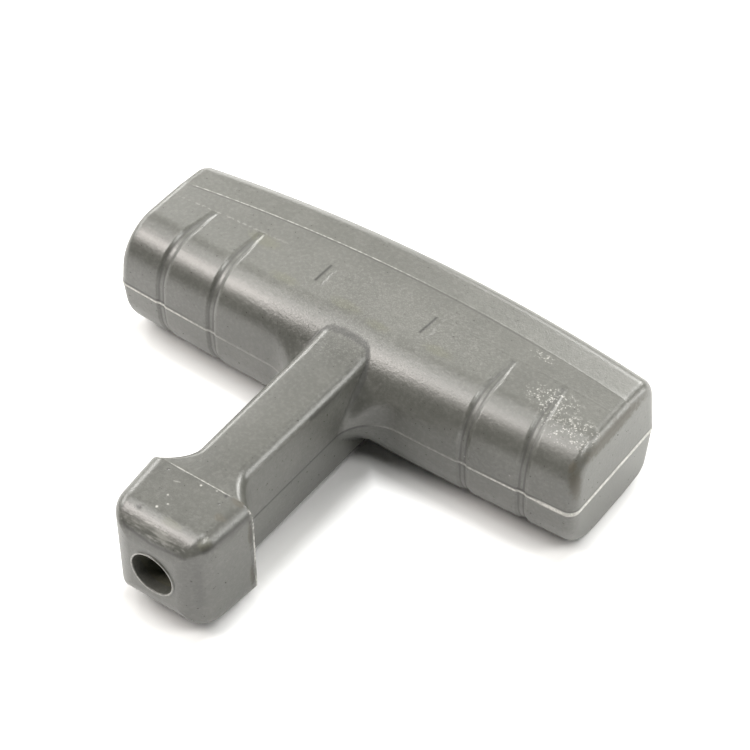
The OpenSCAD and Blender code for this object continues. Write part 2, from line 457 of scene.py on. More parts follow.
@dataclass
class HandleForm:
    """The whole skin of the handle as one distance formula.

    Args:
        bar: The grip bar.
        lines: Its finger lines.
        arm: The stem and nose.
        marks: Fine marks of the mould.
        rope_way: The bore and the knot pocket.
        root_round: Radius between stem and bar at the parting plane.
        root_top_round: Radius between them at the stem's top.
        root_low: Depth under the stem's top edge at which that radius begins to grow.
        root_high: Depth at which it has grown full.
        arm_root: How far the arm reaches into the bar past the ridge line.
        hidden_round: Radius where the arm is hidden in the bar.
        hidden_from: Place across the bar where that radius begins.
        hidden_to: Place where it is reached.
    """

    bar: GripBar
    lines: FingerLines
    arm: Arm
    marks: MouldMarks
    rope_way: RopeWay
    root_round: float = 8.5
    root_top_round: float = 0.35
    root_low: float = 1.0
    root_high: float = 12.5
    arm_root: float = 1.0
    hidden_round: float = 0.1
    hidden_from: float = -23.5
    hidden_to: float = -18.0

    @classmethod
    def from_frame(cls, inset: float = 0.12) -> HandleForm:
        """The form that fills the CAD solid's box.

        Args:
            inset: Room that the flash takes outside the plain skin at the bar's ends and palm side.

        Returns:
            The form in millimetres.
        """
        low, high = (np.array(corner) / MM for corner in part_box(NODE))
        rope_way = RopeWay()
        size = high - low
        bar = GripBar(half_length=size[0] / 2 - inset, half_height=size[2] / 2)
        tip_y = -(size[1] - rope_way.rim_height)
        rounding = bar.front_round + bar.middle_round
        meet_z = Arm.stem_height / 2 + Arm.root_rise - bar.half_height + rounding
        meet_y = rounding - bar.depth - math.sqrt(rounding**2 - meet_z**2)
        arm = Arm(tip_y=tip_y, root_top_y=meet_y, bar_front_y=-bar.depth)
        return cls(bar, FingerLines(), arm, MouldMarks(), rope_way)

    def skin(self, x: Numbers, y: Numbers, z: Numbers) -> Numbers:
        """Distance from the skin with all its marks, negative inside the handle."""
        x, z = np.abs(x), np.abs(z)
        bar = self.bar.skin(x, y, z) + self.lines.cut(x, self.bar.ridge_y(x) - y, z)
        side, top = self.arm.faces(x, y, z)
        arm = np.maximum(self.arm.skin(x, y, z), y + self.bar.ridge_in - self.arm_root)
        radius = mix(self.root_top_round, self.root_round, ease(self.root_low, self.root_high, side - top))
        radius = mix(radius, self.hidden_round, ease(self.hidden_from, self.hidden_to, y))
        plain = np.maximum(inner(bar, arm, radius), z - self.bar.half_height)
        return plain - self.marks.raised(self.bar, self.arm, x, y, z)

    def seam(self, points: Numbers, limit: float = 3.0) -> Numbers:
        """How much nearer the arm is than the bar, 0 along the line where they meet, at most the limit."""
        x, y, z = np.abs(points[:, 0]), points[:, 1], np.abs(points[:, 2])
        return np.clip(self.bar.skin(x, y, z) - self.arm.skin(x, y, z), -limit, limit)

    def normals(self, points: Numbers, step: float = 0.02) -> Numbers:
        """Unit normals of the skin at points on it.

        Args:
            points: Array of points, three numbers each.
            step: Distance over which the slope is taken.

        Returns:
            Array of unit vectors.
        """
        slopes = []
        for axis in range(3):
            move = np.zeros(3)
            move[axis] = step
            ahead, behind = points + move, points - move
            slopes.append(self.skin(*ahead.T) - self.skin(*behind.T))
        raw = np.stack(slopes, axis=-1)
        return raw / np.linalg.norm(raw, axis=-1, keepdims=True)

    def bend(self, points: Numbers, step: float = 0.7) -> Numbers:
        """Curvature of the skin, positive on edges and negative in hollows, in 1/mm."""
        total = -6 * self.skin(*points.T)
        for axis in range(3):
            move = np.zeros(3)
            move[axis] = step
            total = total + self.skin(*(points + move).T) + self.skin(*(points - move).T)
        return total / step**2


@dataclass
class Ray:
    """One line of search from the spine of the bar or arm to a place on the plan outline.

    Args:
        start: Point of the spine in plan.
        target: Point on the outline in plan.
        height: Half height of the section there.
        radius: Edge radius of the section there.
        lean: Sideways lean of the section towards the drafted end face.
        crease: Distance of the rear crease from the spine along the ray, or 0 where there is none.
    """

    start: tuple[float, float]
    target: tuple[float, float]
    height: float
    radius: float
    lean: float = 0.0
    crease: float = 0.0

    @property
    def reach(self) -> float:
        """Distance from the spine to the outline."""
        return math.dist(self.start, self.target)


@dataclass
class SkinGrid:
    """Quarter of the handle's skin as a grid: rays round the plan, rows from the parting plane to the top.

    Args:
        form: The form whose skin is searched.
        plain_step: Distance of the rays on plain stretches.
        flare_step: Distance of the rays along the flare.
        collar_step: Distance of the rays over the nose's rear line.
        nose_step: Distance of the rays along the nose.
        line_steps: Rays across a finger line.
        edge_steps: Rays round the edge of an end face.
        end_columns: Columns on the end face.
        seam_rows: Heights of the rows next to the parting plane.
        wall_rows: Rows on the wall.
        edge_rows: Rows round the upper edge.
        top_rows: Rows on the top.
        crease_rows: Distances of the rows next to the rear crease.
        spine_rows: Distances of the rows next to the spine.
        rays: The rays, once they are laid.
        palm_count: How many of them run to the palm face.
    """

    form: HandleForm
    plain_step: float = 0.85
    flare_step: float = 0.45
    collar_step: float = 0.1
    nose_step: float = 0.7
    line_steps: int = 15
    edge_steps: int = 7
    end_columns: int = 24
    seam_rows: tuple[float, ...] = (0.0, 0.06, 0.12, 0.18, 0.26, 0.4, 0.7)
    wall_rows: int = 7
    edge_rows: int = 16
    top_rows: int = 7
    crease_rows: tuple[float, ...] = (-0.3, -0.14, 0.0, 0.14, 0.3)
    spine_rows: tuple[float, ...] = (0.5, 0.25, 0.12)
    rays: list[Ray] = field(default_factory=list)
    palm_count: int = 0

    def along(self, start: float, end: float, step: float) -> list[float]:
        """Places from start to end, without start, in nearly equal steps."""
        count = max(1, round(abs(end - start) / step))
        return [float(v) for v in np.linspace(start, end, count + 1)[1:]]

    def shares(self) -> list[float]:
        """Shares of an edge radius that are left to its end face, from its start to the face."""
        angles = np.radians(np.linspace(0, 90, self.edge_steps))
        return [float(1 - math.sin(a)) for a in angles]

    def stations(self) -> list[float]:
        """Places along the bar, closer together at each finger line and at the end."""
        lines = self.form.lines
        places = [0.0]
        half = 1.25 * lines.half_width
        for line in (lines.short_x, lines.inner_x, lines.outer_x):
            places += self.along(places[-1], line - half, self.plain_step)
            places += self.along(line - half, line + half, 2 * half / self.line_steps)
        bar = self.form.bar
        edge = bar.half_length - bar.end_round
        places += self.along(places[-1], edge, self.plain_step)
        places += [bar.half_length - bar.end_round * share for share in self.shares()[1:]]
        return places

    def front_x(self, x: float) -> float:
        """Place on the front of the bar that belongs to a station, spread with the outer lines."""
        bar, lines = self.form.bar, self.form.lines
        run = bar.ridge_y(x) - bar.front_y(x)
        half = 1.3 * lines.half_width
        rise = ease(lines.inner_x + half, lines.outer_x - half, x)
        fall = 1 - ease(lines.outer_x + half, bar.half_length - bar.end_round, x)
        return float(x + lines.spread_slope * run * rise * fall)

    def lay_rays(self) -> None:
        """Lays the rays round a quarter of the plan."""
        bar, arm, form = self.form.bar, self.form.arm, self.form
        places = self.stations()
        edge = bar.half_length - bar.end_round
        lean = [float(bar.slope * ease(form.lines.outer_x, edge, x)) for x in places]
        root_x = arm.stem_root / 2 + form.root_round
        root_y = float(bar.front_y(root_x)) - form.root_round
        arc_share = 45

        def root_at(angle: float) -> tuple[float, float]:
            """Point on the plan arc between bar and stem."""
            turn = math.radians(angle)
            return root_x + form.root_round * math.cos(turn), root_y + form.root_round * math.sin(turn)

        rays = []
        for x, tilt in zip(places, lean):
            spine = (x, float(bar.ridge_y(x)))
            crease = float(bar.crease_y(x) - bar.ridge_y(x))
            target = (x, float(bar.palm_y(x)))
            rays.append(Ray(spine, target, bar.half_height, bar.palm_round, tilt, crease))
        self.palm_count = len(rays)
        inner_count = len([x for x in places if x < root_x - 1])
        for i in range(len(places) - 1, -1, -1):
            x = places[i]
            spine = (x, float(bar.ridge_y(x)))
            if i >= inner_count:
                there = self.front_x(x)
                target = (there, float(bar.front_y(there)))
                rays.append(Ray(spine, target, bar.half_height, bar.front_round, lean[i]))
            else:
                share = 1 - i / inner_count
                radius = mix(bar.front_round, arm.stem_round, share)
                rays.append(Ray(spine, root_at(90 + arc_share * share), bar.half_height, radius))
        self.lay_arm_rays(rays, root_at, 90 + arc_share, root_y - 0.5)
        self.rays = rays

    def lay_arm_rays(self, rays: list[Ray], root_at: PlanArc, turned: float, side_from: float) -> None:
        """Adds the rays of the stem and nose.

        Args:
            rays: The list that they are added to.
            root_at: Gives the point on the root arc for an angle.
            turned: Angle of that arc that the bar's rays have reached.
            side_from: Place along Y from which the rays aim at the stem's side.
        """
        bar, arm = self.form.bar, self.form.arm
        root_run = self.along(-bar.ridge_in, -bar.depth - 1, self.plain_step)
        stem_run = self.along(-bar.depth - 1, arm.flare_y, self.plain_step)
        for i, y in enumerate(root_run):
            share = (i + 1) / len(root_run)
            height = mix(bar.half_height, arm.stem_height / 2, share)
            rays.append(Ray((0.0, y), root_at(mix(turned, 180, share)), height, arm.stem_round))
        behind, before = arm.collar_y + 4 * self.collar_step, arm.collar_y - 4 * self.collar_step
        flare_run = self.along(arm.flare_y, behind, self.flare_step)
        collar_run = self.along(behind, before, self.collar_step)
        nose_run = self.along(before, arm.tip_y + arm.tip_round, self.nose_step)
        shares = np.linspace(0, 90, 2 * self.edge_steps)[1:]
        tip_run = [arm.tip_y + arm.tip_round * float(1 - math.sin(math.radians(a))) for a in shares]
        for i, y in enumerate(stem_run + flare_run + collar_run + nose_run + tip_run):
            share = (i + 1) / len(stem_run)
            aim = y if share >= 1 else mix(side_from, arm.flare_y, share)
            target = (float(arm.half_width(aim)), float(aim))
            rays.append(Ray((0.0, y), target, float(arm.half_height(aim)), float(arm.edge_round(aim))))

    def elevations(self) -> Numbers:
        """Elevation of every row on every ray, in radians.

        Returns:
            Array with a line for each ray and a column for each row.
        """
        slope = self.form.bar.slope
        inside = np.array([ray.reach - slope * ray.height for ray in self.rays])
        height = np.array([ray.height for ray in self.rays])
        radius = np.array([ray.radius for ray in self.rays])
        reach = np.array([ray.reach for ray in self.rays])
        low = np.arctan2(height - radius, inside)
        high = np.arctan2(height, np.maximum(inside - radius, 0.3 * inside))
        smoothings = 10
        for _ in range(smoothings):
            for values in (low, high):
                front = values[self.palm_count:].copy()
                padded = np.concatenate([front[:1], front, front[-1:]])
                values[self.palm_count:] = (padded[:-2] + 2 * front + padded[2:]) / 4
        rows = []
        for i, ray in enumerate(self.rays):
            seam = [math.atan2(z, reach[i]) for z in self.seam_rows]
            wall = np.linspace(seam[-1], low[i], self.wall_rows + 1)[1:-1]
            edge = np.linspace(low[i], high[i], self.edge_rows)
            spine = [math.pi / 2 - math.atan2(d, height[i]) for d in self.spine_rows]
            if ray.crease > 0:
                fine = [math.atan2(height[i], ray.crease - d) for d in self.crease_rows]
                left = (self.top_rows - 1) // 2
                before = np.linspace(high[i], fine[0], left + 2)[1:-1]
                after = np.linspace(fine[-1], spine[0], self.top_rows - left + 2)[1:-1]
                top = [*before, *fine, *after]
            else:
                top = np.linspace(high[i], spine[0], self.top_rows + len(self.crease_rows) + 2)[1:-1]
            rows.append([*seam, *wall, *edge, *top, *spine, math.pi / 2])
        return np.array(rows)

    def search(self, start: Numbers, way: Numbers, far: Numbers, halvings: int = 36) -> Numbers:
        """Points where lines of search leave the skin.

        Args:
            start: Points inside the handle.
            way: Unit directions.
            far: Distances at which the lines are outside.
            halvings: How often the distance is halved.

        Returns:
            Array of points on the skin.
        """
        near, out = np.zeros_like(far), far.copy()
        for _ in range(halvings):
            middle = (near + out) / 2
            at = start + way * middle[..., None]
            inside = self.form.skin(at[..., 0], at[..., 1], at[..., 2]) < 0
            near = np.where(inside, middle, near)
            out = np.where(inside, out, middle)
        return start + way * ((near + out) / 2)[..., None]

    def quarter(self) -> Numbers:
        """Points of the quarter skin, rays by rows by three."""
        self.lay_rays()
        rise = self.elevations()
        starts = np.array([[*ray.start, 0.0] for ray in self.rays])
        plan = np.array([[t - s for s, t in zip(ray.start, ray.target)] for ray in self.rays])
        reach = np.linalg.norm(plan, axis=1, keepdims=True)
        plan = plan / reach
        lean = np.array([[ray.lean] for ray in self.rays])
        height = np.array([[ray.height] for ray in self.rays])
        flat, up = np.cos(rise), np.sin(rise)
        way = np.stack([plan[:, :1] * flat - lean * up, plan[:, 1:] * flat, up], axis=-1)
        way = way / np.linalg.norm(way, axis=-1)[..., None]
        far = 1.3 * np.minimum(reach / np.maximum(flat, 1e-3), height / np.maximum(up, 1e-3)) + 1
        gap = 0.02
        shift = np.zeros_like(starts)
        half = self.form.bar.half_length
        shift[np.isclose(starts[:, 0], half), 0] = gap
        shift[np.isclose(starts[:, 1], self.form.arm.tip_y), 1] = -gap
        starts = np.repeat((starts - shift)[:, None, :], rise.shape[1], axis=1)
        points = self.search(starts, way, far) + shift[:, None, :]
        points[:, 0, 2] = 0
        points[:, -1, 0] = np.where(starts[:, -1, 0] == 0, 0, points[:, -1, 0])
        return points

    def end_face(self, points: Numbers) -> Numbers:
        """Points of the quarter end face, between the last palm section and the first front section."""
        palm, front = points[self.palm_count - 1], points[self.palm_count]
        share = np.linspace(0, 1, self.end_columns + 1)[:, None, None]
        flat = mix(palm[None], front[None], share)
        inside, outside = 4.0, 2.0
        start = flat.copy()
        start[..., 0] -= inside
        way = np.zeros_like(start)
        way[..., 0] = 1
        found = self.search(start, way, np.full(start.shape[:2], inside + outside))
        found[0], found[-1] = palm, front
        found[..., 1:] = flat[..., 1:]
        return found


@dataclass
class MeshParts:
    """Collects grids of points with their normals and joins them into one mesh.

    Args:
        weld: Distance within which points are made one.
        points: Points of each patch.
        normals: Normals of each patch.
        faces: Triangles of each patch.
        kinds: Material numbers of those triangles.
        count: How many points there are so far.
    """

    weld: float = 2e-4
    points: list[Numbers] = field(default_factory=list)
    normals: list[Numbers] = field(default_factory=list)
    faces: list[Numbers] = field(default_factory=list)
    kinds: list[Numbers] = field(default_factory=list)
    count: int = 0

    def add(self, points: Numbers, normals: Numbers, faces: Numbers, kind: int) -> None:
        """Adds one quarter patch and its three mirror images.

        Args:
            points: Points of the patch, three numbers each.
            normals: Their normals.
            faces: Triangles as rows of point numbers, anticlockwise from outside.
            kind: Number of the material.
        """
        for sx in (1, -1):
            for sz in (1, -1):
                signs = np.array([sx, 1, sz])
                self.points.append(points * signs)
                self.normals.append(normals * signs)
                turned = faces if sx * sz > 0 else faces[:, ::-1]
                self.faces.append(turned + self.count)
                self.kinds.append(np.full(len(faces), kind))
                self.count += len(points)

    def add_grid(self, grid: Numbers, normals: Numbers, kind: int) -> None:
        """Adds a quarter grid of points, with two triangles in each cell.

        Args:
            grid: Points by line and column.
            normals: Their normals.
            kind: Number of the material.
        """
        lines, columns = grid.shape[:2]
        number = np.arange(lines * columns).reshape(lines, columns)
        a, b = number[:-1, :-1].ravel(), number[1:, :-1].ravel()
        c, d = number[1:, 1:].ravel(), number[:-1, 1:].ravel()
        faces = np.concatenate([np.stack([a, d, b], 1), np.stack([b, d, c], 1)])
        self.add(grid.reshape(-1, 3), normals.reshape(-1, 3), faces, kind)

    def joined(self) -> tuple[Numbers, Numbers, Numbers, Numbers]:
        """Points, normals, faces and face kinds with equal points made one."""
        points = np.concatenate(self.points)
        normals = np.concatenate(self.normals)
        faces = np.concatenate(self.faces)
        kinds = np.concatenate(self.kinds)
        keys = np.round(points / self.weld).astype(np.int64)
        _, first, number = np.unique(keys, axis=0, return_index=True, return_inverse=True)
        number = number.ravel()
        total = np.zeros((len(first), 3))
        np.add.at(total, number, normals)
        total /= np.maximum(np.linalg.norm(total, axis=1, keepdims=True), 1e-9)
        faces = number[faces]
        proper = np.all(faces != np.roll(faces, 1, axis=1), axis=1)
        return points[first], total, faces[proper], kinds[proper]


@dataclass
class HandleBody:
    """The moulding itself: its mesh, its masks and its place in the frame.

    Args:
        form: Its form.
        grid: The grid on its skin.
        wear_and_painted_light: Its wear and its patches of painted sheen, which the mesh carries as fields.
        palm_margin: Width of the palm patch round the pocket's mouth.
        mouth_rings: Rings of that patch from the pocket's wall outwards: distance and depth, in soft edges.
    """

    form: HandleForm
    grid: SkinGrid
    wear_and_painted_light: WearAndPaintedLight
    palm_margin: float = 1.2
    mouth_rings: tuple[tuple[float, float], ...] = ((0.0, 1.0), (0.3, 0.3), (1.0, 0.0), (1.8, 0.0))

    def tip_patch(self, parts: MeshParts, outline: Numbers, rings: int = 8) -> Numbers:
        """Adds the flat front face of the nose between its outline and the rim.

        Args:
            parts: Collects the patch.
            outline: Quarter outline of the face, from the parting plane to the top.
            rings: Number of rings of the patch.

        Returns:
            Angles of the outline's points round the bore.
        """
        angles = np.arctan2(outline[:, 2], outline[:, 0])
        rim = self.form.rope_way.rim_radius
        flat = np.full_like(angles, self.form.arm.tip_y)
        foot = np.stack([rim * np.cos(angles), flat, rim * np.sin(angles)], 1)
        share = np.linspace(0, 1, rings + 1)[:, None, None]
        face = mix(outline[None], foot[None], share)
        normals = np.zeros_like(face)
        normals[..., 1] = -1
        normals[0] = self.form.normals(outline)
        parts.add_grid(face, normals, Surface.SKIN.value)
        return angles

    def tube_patch(self, parts: MeshParts, angles: Numbers) -> None:
        """Adds the rim, the bore and the pocket as rings round the bore's axis."""
        profile = np.array(self.form.rope_way.tube(self.form.arm.tip_y))
        radius, y = profile[:, :1], profile[:, 1:]
        grid = np.stack(
            [radius * np.cos(angles), np.repeat(y, len(angles), axis=1), radius * np.sin(angles)], axis=-1
        )
        step = np.gradient(profile, axis=0)
        length = np.linalg.norm(step, axis=1, keepdims=True)
        out_r, out_y = -step[:, 1:] / length, step[:, :1] / length
        normals = np.stack(
            [out_r * np.cos(angles), np.repeat(out_y, len(angles), axis=1), out_r * np.sin(angles)], axis=-1
        )
        count = self.form.rope_way.skin_points
        parts.add_grid(grid[:count], normals[:count], Surface.SKIN.value)
        parts.add_grid(grid[count - 1:], normals[count - 1:], Surface.BORE.value)

    def palm_patch(self, parts: MeshParts, angles: Numbers, loop: Numbers) -> None:
        """Adds the palm face round the pocket's mouth.

        Args:
            parts: Collects the patch.
            angles: Angles of the rings' points round the bore.
            loop: Quarter of the square loop that the palm grid leaves open, by rising angle.
        """
        way = self.form.rope_way
        inside, outside = 12.0, 2.0
        foot = np.stack([np.cos(angles), np.full_like(angles, way.lip_y), np.sin(angles)], 1)
        foot *= (way.pocket_radius, 1, way.pocket_radius)
        rings, shares = [foot], [1.0]
        for out, sunk in self.mouth_rings:
            radius = way.pocket_radius + way.soft_edge * out
            x, z = radius * np.cos(angles), radius * np.sin(angles)
            start = np.stack([x, np.full_like(x, -inside), z], 1)
            back = np.tile([0.0, 1.0, 0.0], (len(x), 1))
            ring = self.grid.search(start, back, np.full(len(x), inside + outside))
            ring[:, 1] -= way.soft_edge * sunk
            rings.append(ring)
            shares.append(sunk)
        grid = np.array(rings)
        normals = self.form.normals(grid.reshape(-1, 3)).reshape(grid.shape)
        toward = np.stack([-np.cos(angles), np.zeros_like(angles), -np.sin(angles)], 1)
        normals = mix(normals, toward, np.array(shares)[:, None, None])
        normals /= np.linalg.norm(normals, axis=-1, keepdims=True)
        parts.add_grid(grid, normals, Surface.SKIN.value)
        self.bridge(parts, grid[-1], loop)

    def bridge(self, parts: MeshParts, ring: Numbers, loop: Numbers) -> None:
        """Adds triangles between a ring and a loop round it, both by rising angle."""
        points = np.concatenate([ring, loop])
        turn = np.arctan2(points[:, 2], points[:, 0])
        first, second = 0, len(ring)
        faces = []
        while first < len(ring) - 1 or second < len(points) - 1:
            ring_next = turn[first + 1] if first < len(ring) - 1 else math.inf
            loop_next = turn[second + 1] if second < len(points) - 1 else math.inf
            if ring_next <= loop_next:
                faces.append([first, second, first + 1])
                first += 1
            else:
                faces.append([first, second, second + 1])
                second += 1
        parts.add(points, self.form.normals(points), np.array(faces)[:, ::-1], Surface.SKIN.value)

    def build(self) -> bpy.types.Object:
        """Makes the mesh object in the frame.

        Returns:
            The object, with smooth normals and its masks as attributes.
        """
        points = self.grid.quarter()
        normals = self.form.normals(points.reshape(-1, 3)).reshape(points.shape)
        parts = MeshParts()
        pocket = self.form.rope_way.pocket_radius + self.palm_margin
        palm = points[: self.grid.palm_count]
        last_x = int(np.argmax(palm[:, 0, 0] > pocket))
        last_row = int(np.argmax(palm[0, :, 2] > pocket))
        count = self.grid.palm_count
        parts.add_grid(palm[last_x:], normals[last_x:count], Surface.SKIN.value)
        parts.add_grid(palm[: last_x + 1, last_row:], normals[: last_x + 1, last_row:], Surface.SKIN.value)
        loop = np.concatenate([palm[last_x, :last_row], palm[last_x::-1, last_row]])
        parts.add_grid(points[count:], normals[count:], Surface.SKIN.value)
        end = self.grid.end_face(points)
        end_normals = self.form.normals(end.reshape(-1, 3)).reshape(end.shape)
        parts.add_grid(end, end_normals, Surface.SKIN.value)
        angles = self.tip_patch(parts, points[-1])
        self.tube_patch(parts, angles)
        self.palm_patch(parts, angles, loop)
        return self.mesh_object(*parts.joined())

    def mesh_object(
        self, points: Numbers, normals: Numbers, faces: Numbers, kinds: Numbers
    ) -> bpy.types.Object:
        """Turns the joined parts into an object in the frame.

        Args:
            points: Points in millimetres.
            normals: Their unit normals.
            faces: Triangles.
            kinds: Number of each triangle's material.

        Returns:
            The object.
        """
        low, high = (np.array(corner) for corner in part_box(NODE))
        place = np.array([0.0, high[1] / MM, (low[2] + high[2]) / 2 / MM])
        world = np.clip((points + place) * MM, low, high)
        mesh = bpy.data.meshes.new("handle_skin")
        mesh.from_pydata(world.tolist(), [], faces.tolist())
        mesh.polygons.foreach_set("material_index", kinds.astype(np.int32))
        mesh.polygons.foreach_set("use_smooth", np.ones(len(faces), bool))
        mesh.normals_split_custom_set_from_vertices(normals.tolist())
        bend = self.form.bend(points)
        masks = {"edge": ease(0.12, 0.6, bend), "hollow": ease(0.1, 0.5, -bend)}
        masks |= {"seam": self.form.seam(points), **self.wear_and_painted_light.fields(points)}
        for name, values in masks.items():
            layer = mesh.attributes.new(name, "FLOAT", "POINT")
            layer.data.foreach_set("value", values.astype(np.float32))
        mesh.update()
        body = bpy.data.objects.new("moulded_handle", mesh)
        bpy.context.scene.collection.objects.link(body)
        return body


@dataclass
class Graph:
    """Small helper that adds nodes to one node tree.

    Args:
        tree: The node tree.
    """

    tree: bpy.types.NodeTree

    def node(self, kind: str, inputs: dict | None = None, **settings: object) -> bpy.types.Node:
        """Adds a node.

        Args:
            kind: Blender's node type.
            inputs: Values or sockets by input name or number.
            settings: Properties of the node.

        Returns:
            The node.
        """
        made = self.tree.nodes.new(kind)
        for name, value in settings.items():
            setattr(made, name, value)
        for key, value in (inputs or {}).items():
            self.feed(made.inputs[key], value)
        return made

    def feed(self, socket: Socket, value: object) -> None:
        """Links a socket to another or sets its value."""
        if isinstance(value, bpy.types.NodeSocket):
            self.tree.links.new(value, socket)
        else:
            socket.default_value = value

    def math(self, operation: str, *values: object) -> Socket:
        """Result of a Math node."""
        return self.node("ShaderNodeMath", dict(enumerate(values)), operation=operation).outputs[0]

    def vector(self, operation: str, *values: object) -> Socket:
        """Result of a Vector Math node, a number where the operation gives one."""
        made = self.node("ShaderNodeVectorMath", dict(enumerate(values)), operation=operation)
        return made.outputs["Value" if operation in ("DISTANCE", "DOT_PRODUCT", "LENGTH") else "Vector"]

    def step(self, value: object, low: object, high: object, most: object = 1.0) -> Socket:
        """Smooth step of a value from 0 at low to 1, or another number, at high, which may be below low."""
        inputs = {"Value": value, "From Min": low, "From Max": high, "To Max": most}
        made = self.node("ShaderNodeMapRange", inputs, interpolation_type="SMOOTHSTEP")
        return made.outputs[0]

    def product(self, *values: object) -> Socket:
        """Product of several values."""
        total = values[0]
        for value in values[1:]:
            total = self.math("MULTIPLY", total, value)
        return total

    def most(self, values: list[Socket]) -> Socket:
        """Largest of several values."""
        total = values[0]
        for value in values[1:]:
            total = self.math("MAXIMUM", total, value)
        return total

    def noise(self, vector: object, scale: object, detail: float = 2.0, rough: float = 0.5) -> Socket:
        """Value of a Noise texture, about 0.5 on average."""
        inputs = {"Vector": vector, "Scale": scale, "Detail": detail, "Roughness": rough}
        return self.node("ShaderNodeTexNoise", inputs).outputs[0]

    def blend(self, share: object, first: object, second: object) -> Socket:
        """Colour between two colours."""
        made = self.node("ShaderNodeMix", data_type="RGBA")
        for name, value in (("Factor_Float", share), ("A_Color", first), ("B_Color", second)):
            socket = next(s for s in made.inputs if s.identifier == name)
            self.feed(socket, value)
        return next(s for s in made.outputs if s.identifier == "Result_Color")

    def group(self, tree: bpy.types.NodeTree, **inputs: object) -> Socket:
        """Places a node group and feeds its inputs, whose names have spaces for underscores."""
        made = self.tree.nodes.new("ShaderNodeGroup")
        made.node_tree = tree
        for name, value in inputs.items():
            self.feed(made.inputs[name.replace("_", " ")], value)
        return made.outputs[0]


